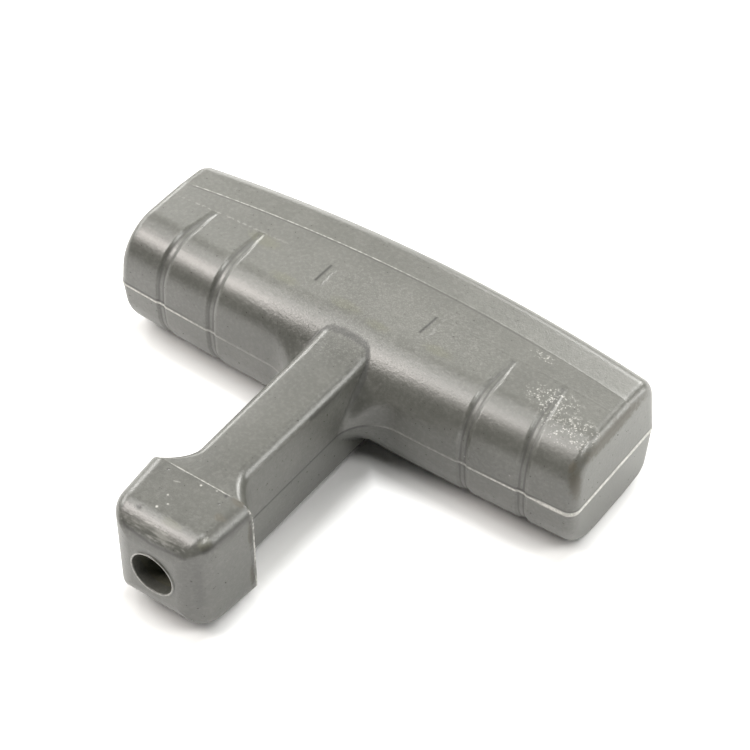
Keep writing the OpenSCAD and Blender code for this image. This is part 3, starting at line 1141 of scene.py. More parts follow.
@dataclass
class Effects:
    """Shader effects that the handle's materials share, one node group each, made on first use."""

    made: dict[str, bpy.types.NodeTree] = field(default_factory=dict)

    def begin(
        self, name: str, takes: dict[str, object], gives: str
    ) -> tuple[Graph, dict[str, Socket], Socket]:
        """Starts a node group with named sockets.

        Args:
            name: Name of the group.
            takes: Default value by input name; three numbers make a vector input.
            gives: Name of the value that it puts out.

        Returns:
            The graph inside, its inputs by name and the socket for the result.
        """
        tree = bpy.data.node_groups.new(name, "ShaderNodeTree")
        for label, value in takes.items():
            kind = "NodeSocketVector" if isinstance(value, tuple) else "NodeSocketFloat"
            socket = tree.interface.new_socket(label, in_out="INPUT", socket_type=kind)
            socket.default_value = value
        tree.interface.new_socket(gives, in_out="OUTPUT", socket_type="NodeSocketFloat")
        source = tree.nodes.new("NodeGroupInput")
        result = tree.nodes.new("NodeGroupOutput")
        self.made[name] = tree
        return Graph(tree), {label: source.outputs[label] for label in takes}, result.inputs[gives]

    @property
    def fine_grain(self) -> bpy.types.NodeTree:
        """Grain of the moulded skin as a height: soft bumps with finer ones on them."""
        if "fine_grain" not in self.made:
            takes = {"Vector": (0.0, 0.0, 0.0), "Fineness": 1.6, "Depth": 0.02}
            graph, given, result = self.begin("fine_grain", takes, "Height")
            soft = graph.noise(given["Vector"], given["Fineness"], 1.0, 0.6)
            finer = graph.math("MULTIPLY", given["Fineness"], 3.1)
            small = graph.noise(given["Vector"], finer, 0.0)
            both = graph.math("MULTIPLY_ADD", small, 0.45, soft)
            graph.feed(result, graph.product(both, given["Depth"]))
        return self.made["fine_grain"]

    @property
    def dust_specks(self) -> bpy.types.NodeTree:
        """Scattered grains: which cells of a cell pattern hold a speck, and its round shape."""
        if "dust_specks" not in self.made:
            takes = {"Vector": (0.0, 0.0, 0.0), "Density": 2.0, "Size": 0.4, "Amount": 0.2}
            graph, given, result = self.begin("dust_specks", takes, "Mask")
            cells = graph.node("ShaderNodeTexVoronoi", {"Vector": given["Vector"], "Scale": given["Density"]})
            chance = graph.node("ShaderNodeSeparateColor", {"Color": cells.outputs["Color"]})
            held = graph.math("GREATER_THAN", given["Amount"], chance.outputs["Red"])
            size = graph.product(given["Size"], graph.math("MULTIPLY_ADD", chance.outputs["Green"], 0.8, 0.4))
            around = graph.step(cells.outputs["Distance"], graph.product(size, 0.35), size)
            graph.feed(result, graph.product(held, graph.math("SUBTRACT", 1.0, around)))
        return self.made["dust_specks"]

    @property
    def soft_patch(self) -> bpy.types.NodeTree:
        """Patch with a ragged soft edge, for stains, dust and painted sheen, from how near the patch is."""
        if "soft_patch" not in self.made:
            takes = {"Nearness": 0.0, "Edge Noise": 0.5, "Ragged": 0.5, "Softness": 0.6}
            graph, given, result = self.begin("soft_patch", takes, "Mask")
            shift = graph.math("SUBTRACT", given["Edge Noise"], 0.5)
            ragged = graph.math("MULTIPLY_ADD", shift, given["Ragged"], given["Nearness"])
            graph.feed(result, graph.step(ragged, 0.0, given["Softness"]))
        return self.made["soft_patch"]

    @property
    def speck(self) -> bpy.types.NodeTree:
        """One small round speck or pit at a place."""
        if "speck" not in self.made:
            takes = {"Vector": (0.0, 0.0, 0.0), "Place": (0.0, 0.0, 0.0), "Radius": 0.4, "Strength": 1.0}
            graph, given, result = self.begin("speck", takes, "Mask")
            gap = graph.vector("DISTANCE", given["Vector"], given["Place"])
            graph.feed(result, graph.step(gap, given["Radius"], 0.0, given["Strength"]))
        return self.made["speck"]

    @property
    def mould_line(self) -> bpy.types.NodeTree:
        """Fine line where an offset is 0, broken up by noise."""
        if "mould_line" not in self.made:
            takes = {"Offset": 0.0, "Width": 0.2, "Edge Noise": 0.5, "Breaks": 0.3}
            graph, given, result = self.begin("mould_line", takes, "Mask")
            away = graph.math("ABSOLUTE", given["Offset"])
            inside = graph.product(given["Width"], 0.35)
            line = graph.math("SUBTRACT", 1.0, graph.step(away, inside, given["Width"]))
            broken = graph.step(given["Edge Noise"], 0.58, 0.42)
            kept = graph.math("SUBTRACT", 1.0, graph.product(broken, given["Breaks"]))
            graph.feed(result, graph.product(line, kept))
        return self.made["mould_line"]

    @property
    def hairline(self) -> bpy.types.NodeTree:
        """Straight fine mark from a start along a line; Share Way is the line over its squared length."""
        if "hairline" not in self.made:
            takes = {
                "Vector": (0.0, 0.0, 0.0), "Start": (0.0, 0.0, 0.0), "Line": (1.0, 0.0, 0.0),
                "Share Way": (1.0, 0.0, 0.0), "Width": 0.2, "Strength": 1.0,
            }
            graph, given, result = self.begin("hairline", takes, "Mask")
            off = graph.vector("SUBTRACT", given["Vector"], given["Start"])
            share = graph.vector("DOT_PRODUCT", off, given["Share Way"])
            share = graph.node("ShaderNodeClamp", {"Value": share}).outputs[0]
            foot = graph.vector("MULTIPLY", given["Line"], share)
            gap = graph.vector("DISTANCE", off, foot)
            graph.feed(result, graph.step(gap, given["Width"], 0.0, given["Strength"]))
        return self.made["hairline"]

    @property
    def worn_mask(self) -> bpy.types.NodeTree:
        """Edge wear or darkening in hollows: a mesh mask broken up by noise."""
        if "worn_mask" not in self.made:
            takes = {"Mask": 0.0, "Edge Noise": 0.5, "Amount": 0.5}
            graph, given, result = self.begin("worn_mask", takes, "Mask")
            uneven = graph.math("MULTIPLY_ADD", given["Edge Noise"], 1.2, 0.4)
            raised = graph.product(given["Mask"], uneven)
            low = graph.math("SUBTRACT", 0.9, given["Amount"])
            high = graph.math("ADD", low, 0.6)
            graph.feed(result, graph.step(raised, low, high))
        return self.made["worn_mask"]


@dataclass(frozen=True)
class Finish:
    """Colours and gloss of the moulded rubber, with the colours of painted light and shade on it.

    Args:
        grey: The plain colour.
        pale: Colour of its lighter clouds.
        bloom: Colour of dust, scuffs and the thin flash.
        brown: Colour of the rusty stains.
        warm: Colour of the yellowish blotches.
        dark: Colour of darkening in hollows, of dark pits, and of painted shade in fine dark lines and inside
            the bore.
        bore_painted_light: Painted light on the bore's wall near its mouth, an olive grey.
        roughness: Gloss of the clean skin.
        gloss: Strength of its mirror reflection, 0.5 for plain plastic.
    """

    grey: Colour = (0.086, 0.087, 0.077, 1.0)
    # bloom: Colour of dust and the thin flash, and of the painted sheen on the nose and the painted
    # highlights along the crease and the ridge.
    pale: Colour = (0.135, 0.136, 0.122, 1.0)
    bloom: Colour = (0.62, 0.61, 0.57, 1.0)
    brown: Colour = (0.052, 0.043, 0.022, 1.0)
    warm: Colour = (0.135, 0.135, 0.075, 1.0)
    dark: Colour = (0.024, 0.023, 0.021, 1.0)
    bore_painted_light: Colour = (0.15, 0.148, 0.115, 1.0)
    roughness: float = 0.3
    gloss: float = 1.0


@dataclass(frozen=True)
class LineLook:
    """How one mould line shows in the finish.

    Args:
        width: Half its width, in millimetres.
        breaks: How far noise breaks it up.
        strength: How much of the line's colour covers the skin.
    """

    width: float
    breaks: float
    strength: float = 1.0


@dataclass(frozen=True)
class LineLooks:
    """The pale lines that the mould left, with painted highlights along the crease and the ridge, and dark
    lines beside them, mostly painted shade.

    Args:
        flash: Along the parting plane of the bar.
        thick_flash: The same, where it stands out most.
        flash_shade: Above the flash.
        parting: Along the parting plane of the stem.
        crease: Along the rear crease: pale flash with a painted highlight on its tiny ridge.
        crease_shade: In front of it.
        ridge: Painted highlight where the finger lines begin.
        collar: Over the nose's rear line on the top.
        collar_flash: Along that line on the sides.
        collar_shade: Behind that line on the sides.
        mouth: Round the bore's mouth.
        seam: Painted shade in the crease where the stem's top runs into the bar.
    """

    flash: LineLook = LineLook(0.36, 0.35)
    thick_flash: LineLook = LineLook(0.75, 0.3)
    flash_shade: LineLook = LineLook(0.34, 0.3, 0.85)
    parting: LineLook = LineLook(0.42, 0.1)
    crease: LineLook = LineLook(0.17, 0.6)
    crease_shade: LineLook = LineLook(0.2, 0.3, 0.5)
    ridge: LineLook = LineLook(0.3, 0.9, 0.16)
    collar: LineLook = LineLook(0.17, 0.5, 0.5)
    collar_flash: LineLook = LineLook(0.5, 0.9, 0.8)
    collar_shade: LineLook = LineLook(0.7, 1.0, 0.5)
    mouth: LineLook = LineLook(0.22, 0.5, 0.55)
    seam: LineLook = LineLook(0.5, 0.2, 0.4)


@dataclass(frozen=True)
class Patch:
    """A soft patch on the skin.

    Args:
        place: Its middle, in millimetres from the palm's middle.
        reach: Its half widths along the axes.
    """

    place: Triple
    reach: Triple


@dataclass(frozen=True)
class Speck:
    """A small round speck or pit on the skin.

    Args:
        place: Its middle, in millimetres from the palm's middle.
        radius: Its radius.
        strength: How much of its colour covers the skin.
    """

    place: Triple
    radius: float
    strength: float = 1.0


@dataclass(frozen=True)
class Scratch:
    """A straight fine mark on the skin.

    Args:
        start: Where it starts, in millimetres from the palm's middle.
        end: Where it ends.
        width: Half its width.
        strength: How much of its colour covers the skin.
    """

    start: Triple
    end: Triple
    width: float
    strength: float = 1.0


@dataclass(frozen=True)
class WearAndPaintedLight:
    """Stains, specks and scratches that the photo shows, by kind.

    Args:
        pale_specks: Pale grains.
        dark_specks: Small dark pits.
        stains: Rusty brown stains.
        blotches: Yellowish blotches.
        scratches: Pale scratches.
        painted_shade_lines: Dark lines of painted shade along edges, beside the stem's root and in the short
            lines on the top.
        dusty: Where the grain is coarse and dusty.
        flecks: Where pale flecks lie close together.
        sheen_patches: Where pale streaks paint the sheen on the nose's rounded front edge.
    """

    pale_specks: tuple[Speck, ...] = (
        Speck((-2.5, -84.3, 11.8), 0.4, 0.9),
        Speck((-1.2, -82.7, 11.8), 0.33, 0.7),
        Speck((-2.6, -81.0, 11.9), 0.33, 0.6),
        Speck((0.9, -75.8, 12.0), 0.35, 0.8),
        Speck((40.8, -34.2, 3.1), 0.4, 0.8),
        Speck((30.7, -34.7, 2.0), 0.35, 0.7),
        Speck((4.1, -75.2, 12.0), 0.35, 0.4),
    )
    dark_specks: tuple[Speck, ...] = (
        Speck((-5.3, -85.9, 11.5), 0.8),
        Speck((-6.5, -76.2, 12.0), 0.45, 0.8),
        Speck((6.3, -77.4, 11.9), 0.45, 0.8),
        Speck((6.3, -75.2, 12.0), 0.7, 0.8),
    )
    stains: tuple[Patch, ...] = (
        Patch((8.9, -75.1, 11.8), (2.0, 1.1, 1.2)),
        Patch((8.5, -79.8, 11.9), (1.8, 1.2, 1.2)),
        Patch((11.6, -75.8, 6.0), (1.2, 0.9, 6.0)),
        Patch((11.6, -75.9, -5.5), (1.2, 0.9, 4.5)),
        Patch((54.2, -21.0, 11.4), (1.8, 16.0, 2.2)),
        Patch((53.6, -32.2, 6.6), (1.7, 1.8, 6.0)),
        Patch((52.3, -31.2, 9.9), (1.0, 1.6, 2.4)),
    )
    blotches: tuple[Patch, ...] = (
        Patch((-28.7, -18.6, 13.6), (5.0, 2.2, 2.0)),
        Patch((-18.9, -25.0, 13.7), (4.5, 1.6, 2.0)),
        Patch((-4.6, -24.1, 13.6), (5.0, 1.8, 2.0)),
        Patch((3.6, -25.1, 13.6), (4.0, 1.4, 2.0)),
        Patch((17.1, -24.0, 13.6), (4.5, 1.6, 2.0)),
        Patch((2.2, -85.8, 11.5), (3.2, 1.2, 1.2)),
        Patch((9.7, -85.7, 10.9), (1.6, 1.8, 1.6)),
    )
    scratches: tuple[Scratch, ...] = (
        Scratch((49.9, -33.7, 4.4), (48.9, -34.0, 1.8), 0.3, 0.4),
        Scratch((52.1, -33.2, 6.7), (50.2, -33.7, 4.6), 0.28, 0.35),
        Scratch((47.0, -24.3, 13.6), (52.5, -26.8, 13.0), 0.3, 0.45),
        Scratch((-3.8, -77.8, 11.9), (-2.7, -77.4, 11.9), 0.26, 0.25),
    )
    # Painted shade: dark lines along the nose's and the stem's edges, the bar's end edge, under the nose,
    # beside the stem's root and in the short lines on the top.
    painted_shade_lines: tuple[Scratch, ...] = (
        Scratch((-6.4, -89.2, 8.7), (-0.1, -89.5, 8.0), 0.55, 0.65),
        Scratch((-0.1, -89.5, 8.0), (7.7, -89.2, 8.7), 0.55, 0.65),
        Scratch((-8.0, -86.9, 10.9), (-6.3, -89.4, 8.4), 0.45, 0.55),
        Scratch((5.9, -89.8, -7.0), (9.9, -87.2, -9.3), 0.6, 0.5),
        Scratch((51.7, -29.7, 11.6), (52.6, -32.4, 8.3), 0.45, 0.6),
        Scratch((10.1, -86.3, 10.0), (11.3, -79.2, 9.9), 1.3, 0.6),
        Scratch((11.3, -79.2, 9.9), (11.4, -75.9, 9.9), 1.0, 0.55),
        Scratch((9.7, -88.2, 6.5), (9.7, -88.2, -4.0), 1.6, 0.35),
        Scratch((-13.5, -16.8, 13.6), (-13.6, -21.9, 13.6), 0.45, 0.95),
        Scratch((11.7, -16.8, 13.6), (11.4, -21.8, 13.6), 0.45, 0.95),
        Scratch((10.1, -36.2, 10.5), (6.7, -45.0, 9.4), 1.6, 0.4),
        Scratch((6.8, -38.1, 9.8), (5.9, -49.4, 10.0), 1.0, 0.6),
    )
    dusty: tuple[Patch, ...] = (
        Patch((-2.0, -28.0, 12.8), (26.0, 11.0, 7.0)),
        Patch((4.0, -21.0, 13.0), (30.0, 11.0, 7.0)),
    )
    flecks: tuple[Patch, ...] = (
        Patch((48.6, -26.4, 13.4), (8.0, 4.2, 3.5)),
        Patch((42.0, -22.4, 13.6), (7.0, 4.0, 3.0)),
        Patch((34.0, -13.6, 13.6), (3.5, 1.4, 2.0)),
    )
    # Painted sheen: pale streaks on the nose's rounded front edge.
    sheen_patches: tuple[Patch, ...] = (Patch((-0.6, -88.2, 9.9), (8.6, 1.7, 1.9)),)

    def nearness(self, patches: tuple[Patch, ...], points: Numbers) -> Numbers:
        """How near points are to the nearest of several patches.

        Args:
            patches: The patches.
            points: Points in millimetres, three numbers each.

        Returns:
            1 in the middle of a patch, 0 at its edge and down to -1 away from it.
        """
        gaps = [np.linalg.norm((points - p.place) / np.array(p.reach), axis=1) for p in patches]
        return np.clip(1 - np.min(gaps, axis=0), -1, 1)

    def fields(self, points: Numbers) -> dict[str, Numbers]:
        """Nearness of every kind of patch, by kind."""
        kinds = {
            "stain": self.stains,
            "blotch": self.blotches,
            "dust": self.dusty,
            "fleck": self.flecks,
            "sheen": self.sheen_patches,
        }
        return {name: self.nearness(patches, points) for name, patches in kinds.items()}


@dataclass
class HandleDress:
    """Gives the moulded handle its materials.

    Args:
        finish: Colours and gloss.
        form: The handle's form, which places the mould lines.
        origin: The palm's middle at the parting plane in the frame, in metres.
        wear_and_painted_light: Stains, specks and scratches, with dark lines of painted shade and patches of
            painted sheen.
        looks: How the mould lines show.
        effects: The shared shader effects.
    """

    finish: Finish
    form: HandleForm
    origin: Vector
    wear_and_painted_light: WearAndPaintedLight
    looks: LineLooks = field(default_factory=LineLooks)
    effects: Effects = field(default_factory=Effects)

    def begin(self, name: str) -> tuple[Graph, bpy.types.Node, bpy.types.Material]:
        """Starts a material and gives its graph and its shader."""
        material = bpy.data.materials.new(name)
        material.use_nodes = True
        shader = material.node_tree.nodes["Principled BSDF"]
        return Graph(material.node_tree), shader, material

    def place(self, graph: Graph) -> Socket:
        """Position in millimetres from the palm's middle."""
        spot = graph.node("ShaderNodeTexCoord").outputs["Object"]
        shifted = graph.vector("SUBTRACT", spot, tuple(self.origin))
        return graph.vector("MULTIPLY", shifted, (1 / MM, 1 / MM, 1 / MM))

    def patches(self, graph: Graph, name: str, noise: Socket, ragged: float) -> Socket:
        """Mask of one kind of patch, from the mesh's field of that name."""
        near = graph.node("ShaderNodeAttribute", attribute_name=name).outputs["Fac"]
        return graph.group(self.effects.soft_patch, Nearness=near, Edge_Noise=noise, Ragged=ragged)

    def specks(self, graph: Graph, place: Socket, specks: tuple[Speck, ...]) -> Socket:
        """Mask of several specks together."""
        masks = []
        for speck in specks:
            masks.append(graph.group(
                self.effects.speck, Vector=place, Place=speck.place, Radius=speck.radius,
                Strength=speck.strength,
            ))
        return graph.most(masks)

    def scratches(self, graph: Graph, place: Socket, scratches: tuple[Scratch, ...]) -> Socket:
        """Mask of several straight marks together: pale scratches, and dark lines of painted shade."""
        masks = []
        for scratch in scratches:
            line = Vector(scratch.end) - Vector(scratch.start)
            masks.append(graph.group(
                self.effects.hairline, Vector=place, Start=scratch.start, Line=line,
                Share_Way=line / line.length_squared, Width=scratch.width, Strength=scratch.strength,
            ))
        return graph.most(masks)

    def line(self, graph: Graph, offset: Socket, look: LineLook, noise: Socket, *where: Socket) -> Socket:
        """Mask of one mould line.

        Args:
            graph: The material's graph.
            offset: Distance from the line, in millimetres.
            look: Its width, breaks and strength.
            noise: Noise that breaks it up.
            where: Masks of the stretches that have it.

        Returns:
            The mask.
        """
        mask = graph.group(
            self.effects.mould_line, Offset=offset, Width=look.width, Edge_Noise=noise, Breaks=look.breaks
        )
        strength = () if look.strength == 1 else (look.strength,)
        return graph.product(mask, *where, *strength)

    def mould_lines(self, graph: Graph, place: Socket, noise: Socket) -> tuple[Socket, Socket]:
        """Masks of the pale lines that the mould left, with painted highlights, and of the dark lines beside
        them, mostly painted shade.

        Args:
            graph: The material's graph.
            place: Position in millimetres.
            noise: Noise that breaks the lines up.

        Returns:
            The pale mask and the dark mask.
        """
        bar, arm, looks = self.form.bar, self.form.arm, self.looks
        split = graph.node("ShaderNodeSeparateXYZ", {"Vector": place}).outputs
        x, y, z = split[0], split[1], split[2]
        wide, high = graph.math("ABSOLUTE", x), graph.math("ABSOLUTE", z)
        squared = graph.product(x, x, 1 / bar.half_length**2)
        crease = graph.math("ADD", y, graph.math("MULTIPLY_ADD", squared, bar.palm_bow, bar.crease_in))
        ridge = graph.math("ADD", y, graph.math("MULTIPLY_ADD", squared, bar.ridge_bow, bar.ridge_in))
        collar = graph.math("SUBTRACT", y, arm.collar_y)
        from_axis = graph.math("SQRT", graph.math("MULTIPLY_ADD", x, x, graph.product(z, z)))
        mouth = graph.math("SUBTRACT", from_axis, self.form.rope_way.bore_radius + looks.mouth.width)
        seam = graph.node("ShaderNodeAttribute", attribute_name="seam").outputs["Fac"]
        above_flash = graph.math("SUBTRACT", z, 0.62)
        before_crease = graph.math("ADD", crease, 0.36)
        before_collar = graph.math("ADD", collar, 0.75)
        on_bar = graph.step(y, -38.0, -34.0)
        on_stem = graph.product(graph.step(y, -34.0, -38.0), graph.step(y, -76.0, -74.0))
        on_top = graph.product(graph.step(high, 9.5, 11.0), graph.step(wide, 51.5, 49.5))
        at_mouth = graph.step(y, arm.tip_y + 1.0, arm.tip_y + 0.2)
        more_at_ends = graph.math("MULTIPLY_ADD", graph.step(wide, 26.0, 40.0), 0.65, 0.35)
        painted_highlight_at_left = graph.math("MULTIPLY_ADD", graph.step(x, 10.0, -8.0), 0.42, 0.07)
        # The crease's pale line is partly painted highlight and the ridge's is painted highlight, both at the
        # left where the light catches their tiny ridges.
        pale = [
            self.line(graph, z, looks.flash, noise, more_at_ends, on_bar),
            self.line(graph, z, looks.thick_flash, noise, graph.step(x, 45.0, 49.0)),
            self.line(graph, crease, looks.crease, noise, on_top, painted_highlight_at_left),
            self.line(graph, ridge, looks.ridge, noise, on_top, graph.step(x, -18.0, -34.0)),
            self.line(graph, collar, looks.collar, noise, on_top, graph.step(wide, 7.6, 6.2)),
            self.line(graph, collar, looks.collar_flash, noise, graph.step(wide, 10.6, 11.2)),
            self.line(graph, mouth, looks.mouth, noise, at_mouth),
        ]
        # Painted shade: dark lines above the flash, in front of the crease, behind the nose's rear line and
        # in the crease where the stem's top meets the bar, with the stem's dark parting line.
        dark = [
            self.line(graph, above_flash, looks.flash_shade, noise, graph.step(wide, 30.0, 44.0), on_bar),
            self.line(graph, z, looks.parting, noise, on_stem),
            self.line(graph, before_crease, looks.crease_shade, noise, on_top, graph.step(x, 40.0, 26.0)),
            self.line(graph, before_collar, looks.collar_shade, noise, graph.step(wide, 10.2, 11.0)),
            self.line(graph, seam, looks.seam, noise, graph.step(high, 8.5, 10.5)),
        ]
        return graph.most(pale), graph.most(dark)

    def skin_material(self) -> bpy.types.Material:
        """Material of the outer skin."""
        graph, shader, material = self.begin("moulded_rubber")
        finish, wear_and_painted_light = self.finish, self.wear_and_painted_light
        place = self.place(graph)
        ragged = graph.noise(place, 1.3, 2.0, 0.6)
        broad = graph.noise(place, 0.06, 3.0, 0.55)
        edge = graph.node("ShaderNodeAttribute", attribute_name="edge").outputs["Fac"]
        hollow = graph.node("ShaderNodeAttribute", attribute_name="hollow").outputs["Fac"]
        worn = graph.group(self.effects.worn_mask, Mask=edge, Edge_Noise=ragged, Amount=0.45)
        # Mask that darkens the colour in hollows, from the mesh's curvature.
        darker_in_hollows = graph.group(self.effects.worn_mask, Mask=hollow, Edge_Noise=ragged, Amount=0.6)
        dusty = self.patches(graph, "dust", ragged, 0.7)
        flecked = self.patches(graph, "fleck", ragged, 0.8)
        stains = self.patches(graph, "stain", ragged, 1.0)
        blotches = self.patches(graph, "blotch", ragged, 0.8)
        # Where pale streaks paint the sheen on the nose's front edge.
        sheen_patch = self.patches(graph, "sheen", ragged, 0.9)
        fine = graph.group(self.effects.dust_specks, Vector=place, Density=3.4, Size=0.75, Amount=0.75)
        # Pale lines with painted highlights, and dark lines that are mostly painted shade.
        pale, dark = self.mould_lines(graph, place, ragged)
        scratched = self.scratches(graph, place, wear_and_painted_light.scratches)
        # Dark lines of painted shade along edges, beside the stem's root and in the short lines.
        painted_shade_ink = self.scratches(graph, place, wear_and_painted_light.painted_shade_lines)
        pits = self.specks(graph, place, wear_and_painted_light.dark_specks)
        specks = self.specks(graph, place, wear_and_painted_light.pale_specks)
        y = graph.node("ShaderNodeSeparateXYZ", {"Vector": place}).outputs[1]
        on_bar = graph.product(graph.step(y, -34.0, -28.0), 0.5)
        clouds = graph.math("MULTIPLY_ADD", graph.step(broad, 0.3, 0.7), 0.45, on_bar)
        colour = graph.blend(clouds, finish.grey, finish.pale)
        colour = graph.blend(graph.product(graph.step(ragged, 0.4, 0.75), 0.06), colour, finish.bloom)
        colour = graph.blend(graph.product(blotches, 0.3), colour, finish.warm)
        colour = graph.blend(graph.product(darker_in_hollows, 0.45), colour, finish.dark)
        colour = graph.blend(graph.product(worn, 0.03), colour, finish.bloom)
        clumps = graph.product(flecked, graph.step(ragged, 0.47, 0.6), 0.8)
        dust = graph.product(fine, graph.most([graph.product(dusty, 0.1), clumps]))
        colour = graph.blend(dust, colour, finish.bloom)
        # Painted sheen: pale streaks along the nose's rounded front edge.
        streaks = graph.noise(graph.vector("MULTIPLY", place, (0.25, 1.6, 1.6)), 1.2, 1.0, 0.6)
        painted_sheen = graph.product(sheen_patch, graph.step(streaks, 0.3, 0.7), 0.34)
        colour = graph.blend(painted_sheen, colour, finish.bloom)
        colour = graph.blend(graph.product(stains, 0.7), colour, finish.brown)
        # Painted shade: the dark lines darken the colour along edges, creases and the short lines.
        colour = graph.blend(graph.most([dark, painted_shade_ink]), colour, finish.dark)
        # Pale flash, scratches and specks, with the painted highlights along the crease and the ridge.
        light = graph.most([pale, scratched, specks])
        colour = graph.blend(light, colour, finish.bloom)
        colour = graph.blend(pits, colour, finish.dark)
        graph.feed(shader.inputs["Base Color"], colour)
        rough = graph.math("MULTIPLY_ADD", ragged, 0.12, finish.roughness - 0.06)
        rough = graph.math("MULTIPLY_ADD", graph.most([light, stains, darker_in_hollows]), 0.2, rough)
        graph.feed(shader.inputs["Roughness"], rough)
        shader.inputs["Specular IOR Level"].default_value = finish.gloss
        grain = graph.group(self.effects.fine_grain, Vector=place, Fineness=2.4, Depth=0.024)
        grain = graph.product(grain, graph.math("MULTIPLY_ADD", dusty, 0.9, 1.0))
        height = graph.math("MULTIPLY_ADD", pits, -0.06, grain)
        bump = graph.node("ShaderNodeBump", {"Height": height, "Distance": MM, "Strength": 1.0})
        graph.feed(shader.inputs["Normal"], bump.outputs["Normal"])
        return material

    def bore_material(self) -> bpy.types.Material:
        """Material inside the bore and the knot pocket: painted shade deep inside, painted light on the
        bore's wall near its mouth, darker in hollows.
        """
        graph, shader, material = self.begin("rubber_inside_painted_light")
        finish = self.finish
        place = self.place(graph)
        ragged = graph.noise(place, 1.3, 1.0, 0.6)
        broad = graph.noise(place, 0.12, 2.0, 0.55)
        hollow = graph.node("ShaderNodeAttribute", attribute_name="hollow").outputs["Fac"]
        # Mask that darkens the colour in hollows.
        darker_in_hollows = graph.group(self.effects.worn_mask, Mask=hollow, Edge_Noise=broad, Amount=0.6)
        specks = graph.group(self.effects.dust_specks, Vector=place, Density=0.6, Size=0.12, Amount=0.3)
        y = graph.node("ShaderNodeSeparateXYZ", {"Vector": place}).outputs[1]
        tip_y = self.form.arm.tip_y
        clouds = graph.math("MULTIPLY_ADD", graph.step(broad, 0.3, 0.7), 0.3, 0.7)
        # Painted shade deep in the bore and the pocket, painted light on the bore's wall near its mouth.
        lit_near_mouth = graph.product(graph.step(y, tip_y + 13.0, tip_y + 3.0), clouds)
        colour = graph.blend(lit_near_mouth, finish.dark, finish.bore_painted_light)
        colour = graph.blend(graph.product(darker_in_hollows, 0.6), colour, finish.dark)
        colour = graph.blend(graph.product(specks, 0.4), colour, finish.bloom)
        graph.feed(shader.inputs["Base Color"], colour)
        graph.feed(shader.inputs["Roughness"], graph.math("MULTIPLY_ADD", ragged, 0.2, finish.roughness))
        grain = graph.group(self.effects.fine_grain, Vector=place, Fineness=1.2, Depth=0.03)
        bump = graph.node("ShaderNodeBump", {"Height": grain, "Distance": MM, "Strength": 1.0})
        graph.feed(shader.inputs["Normal"], bump.outputs["Normal"])
        return material

    def apply(self, body: bpy.types.Object) -> None:
        """Gives the body its materials in the order of Surface."""
        body.data.materials.append(self.skin_material())
        body.data.materials.append(self.bore_material())


@dataclass
class View:
    """The camera, at the photograph's angle.

    Args:
        azimuth: Direction of the camera from the handle, from -Y towards +X, in degrees.
        elevation: Its height over the horizon, in degrees.
        roll: Its turn about its own axis, in degrees.
        distance: Its distance from the aim, in millimetres.
        slide_right: How far the aim lies to its right, in millimetres.
        slide_up: How far the aim lies above its axis, in millimetres.
        aim_y: Place of the aim in front of the palm face, in millimetres.
        lens: Focal length on a sensor of 36 mm, in millimetres.
    """

    azimuth: float = 36.075
    elevation: float = 45.712
    roll: float = -0.288
    distance: float = 490.94
    slide_right: float = 9.368
    slide_up: float = 13.272
    aim_y: float = -4.87
    lens: float = 117.13

    def build(self, palm_y: float, parting_z: float) -> bpy.types.Object:
        """Makes the camera and sets it as the scene's.

        Args:
            palm_y: Place of the palm face in the frame, in metres.
            parting_z: Height of the parting plane, in metres.

        Returns:
            The camera object.
        """
        turn, rise, roll = (math.radians(a) for a in (self.azimuth, self.elevation, self.roll))
        back = Vector((math.sin(turn) * math.cos(rise), -math.cos(turn) * math.cos(rise), math.sin(rise)))
        level = Vector((math.cos(turn), math.sin(turn), 0))
        over = back.cross(level)
        right = level * math.cos(roll) + over * math.sin(roll)
        up = over * math.cos(roll) - level * math.sin(roll)
        aim = Vector((0, palm_y + self.aim_y * MM, parting_z))
        eye = aim + (back * self.distance - right * self.slide_right - up * self.slide_up) * MM
        lens = bpy.data.cameras.new("camera")
        lens.sensor_width = 36
        lens.lens = self.lens
        lens.clip_start = 0.01
        camera = bpy.data.objects.new("camera", lens)
        columns = Matrix((right, up, back)).transposed().to_4x4()
        camera.matrix_world = Matrix.Translation(eye) @ columns
        bpy.context.scene.collection.objects.link(camera)
        bpy.context.scene.camera = camera
        return camera


@dataclass
class Softbox:
    """One soft light box, given as it is seen from the object.

    Args:
        name: Its name.
        azimuth: Direction from the object, from -Y towards +X, in degrees.
        elevation: Height over the horizon, in degrees.
        brightness: Radiance of its face.
        spread: Its width in degrees.
        tall: Its height in degrees.
        tint: Its colour.
        distance: Distance from the object, in metres.
    """

    name: str
    azimuth: float
    elevation: float
    brightness: float
    spread: float = 19.0
    tall: float = 18.0
    tint: Triple = (1.0, 0.995, 0.965)
    distance: float = 0.9

    def build(self, aim: Vector) -> bpy.types.Object:
        """Makes the light.

        Args:
            aim: The point that it faces.

        Returns:
            The light object.
        """
        turn, rise = math.radians(self.azimuth), math.radians(self.elevation)
        way = Vector((math.sin(turn) * math.cos(rise), -math.cos(turn) * math.cos(rise), math.sin(rise)))
        data = bpy.data.lights.new(self.name, "AREA")
        data.shape = "RECTANGLE"
        data.color = self.tint
        data.size = 2 * self.distance * math.tan(math.radians(self.spread / 2))
        data.size_y = 2 * self.distance * math.tan(math.radians(self.tall / 2))
        data.energy = math.pi * self.brightness * data.size * data.size_y
        light = bpy.data.objects.new(self.name, data)
        light.location = aim + way * self.distance
        light.rotation_euler = way.to_track_quat("Z", "Y").to_euler()
        bpy.context.scene.collection.objects.link(light)
        return light


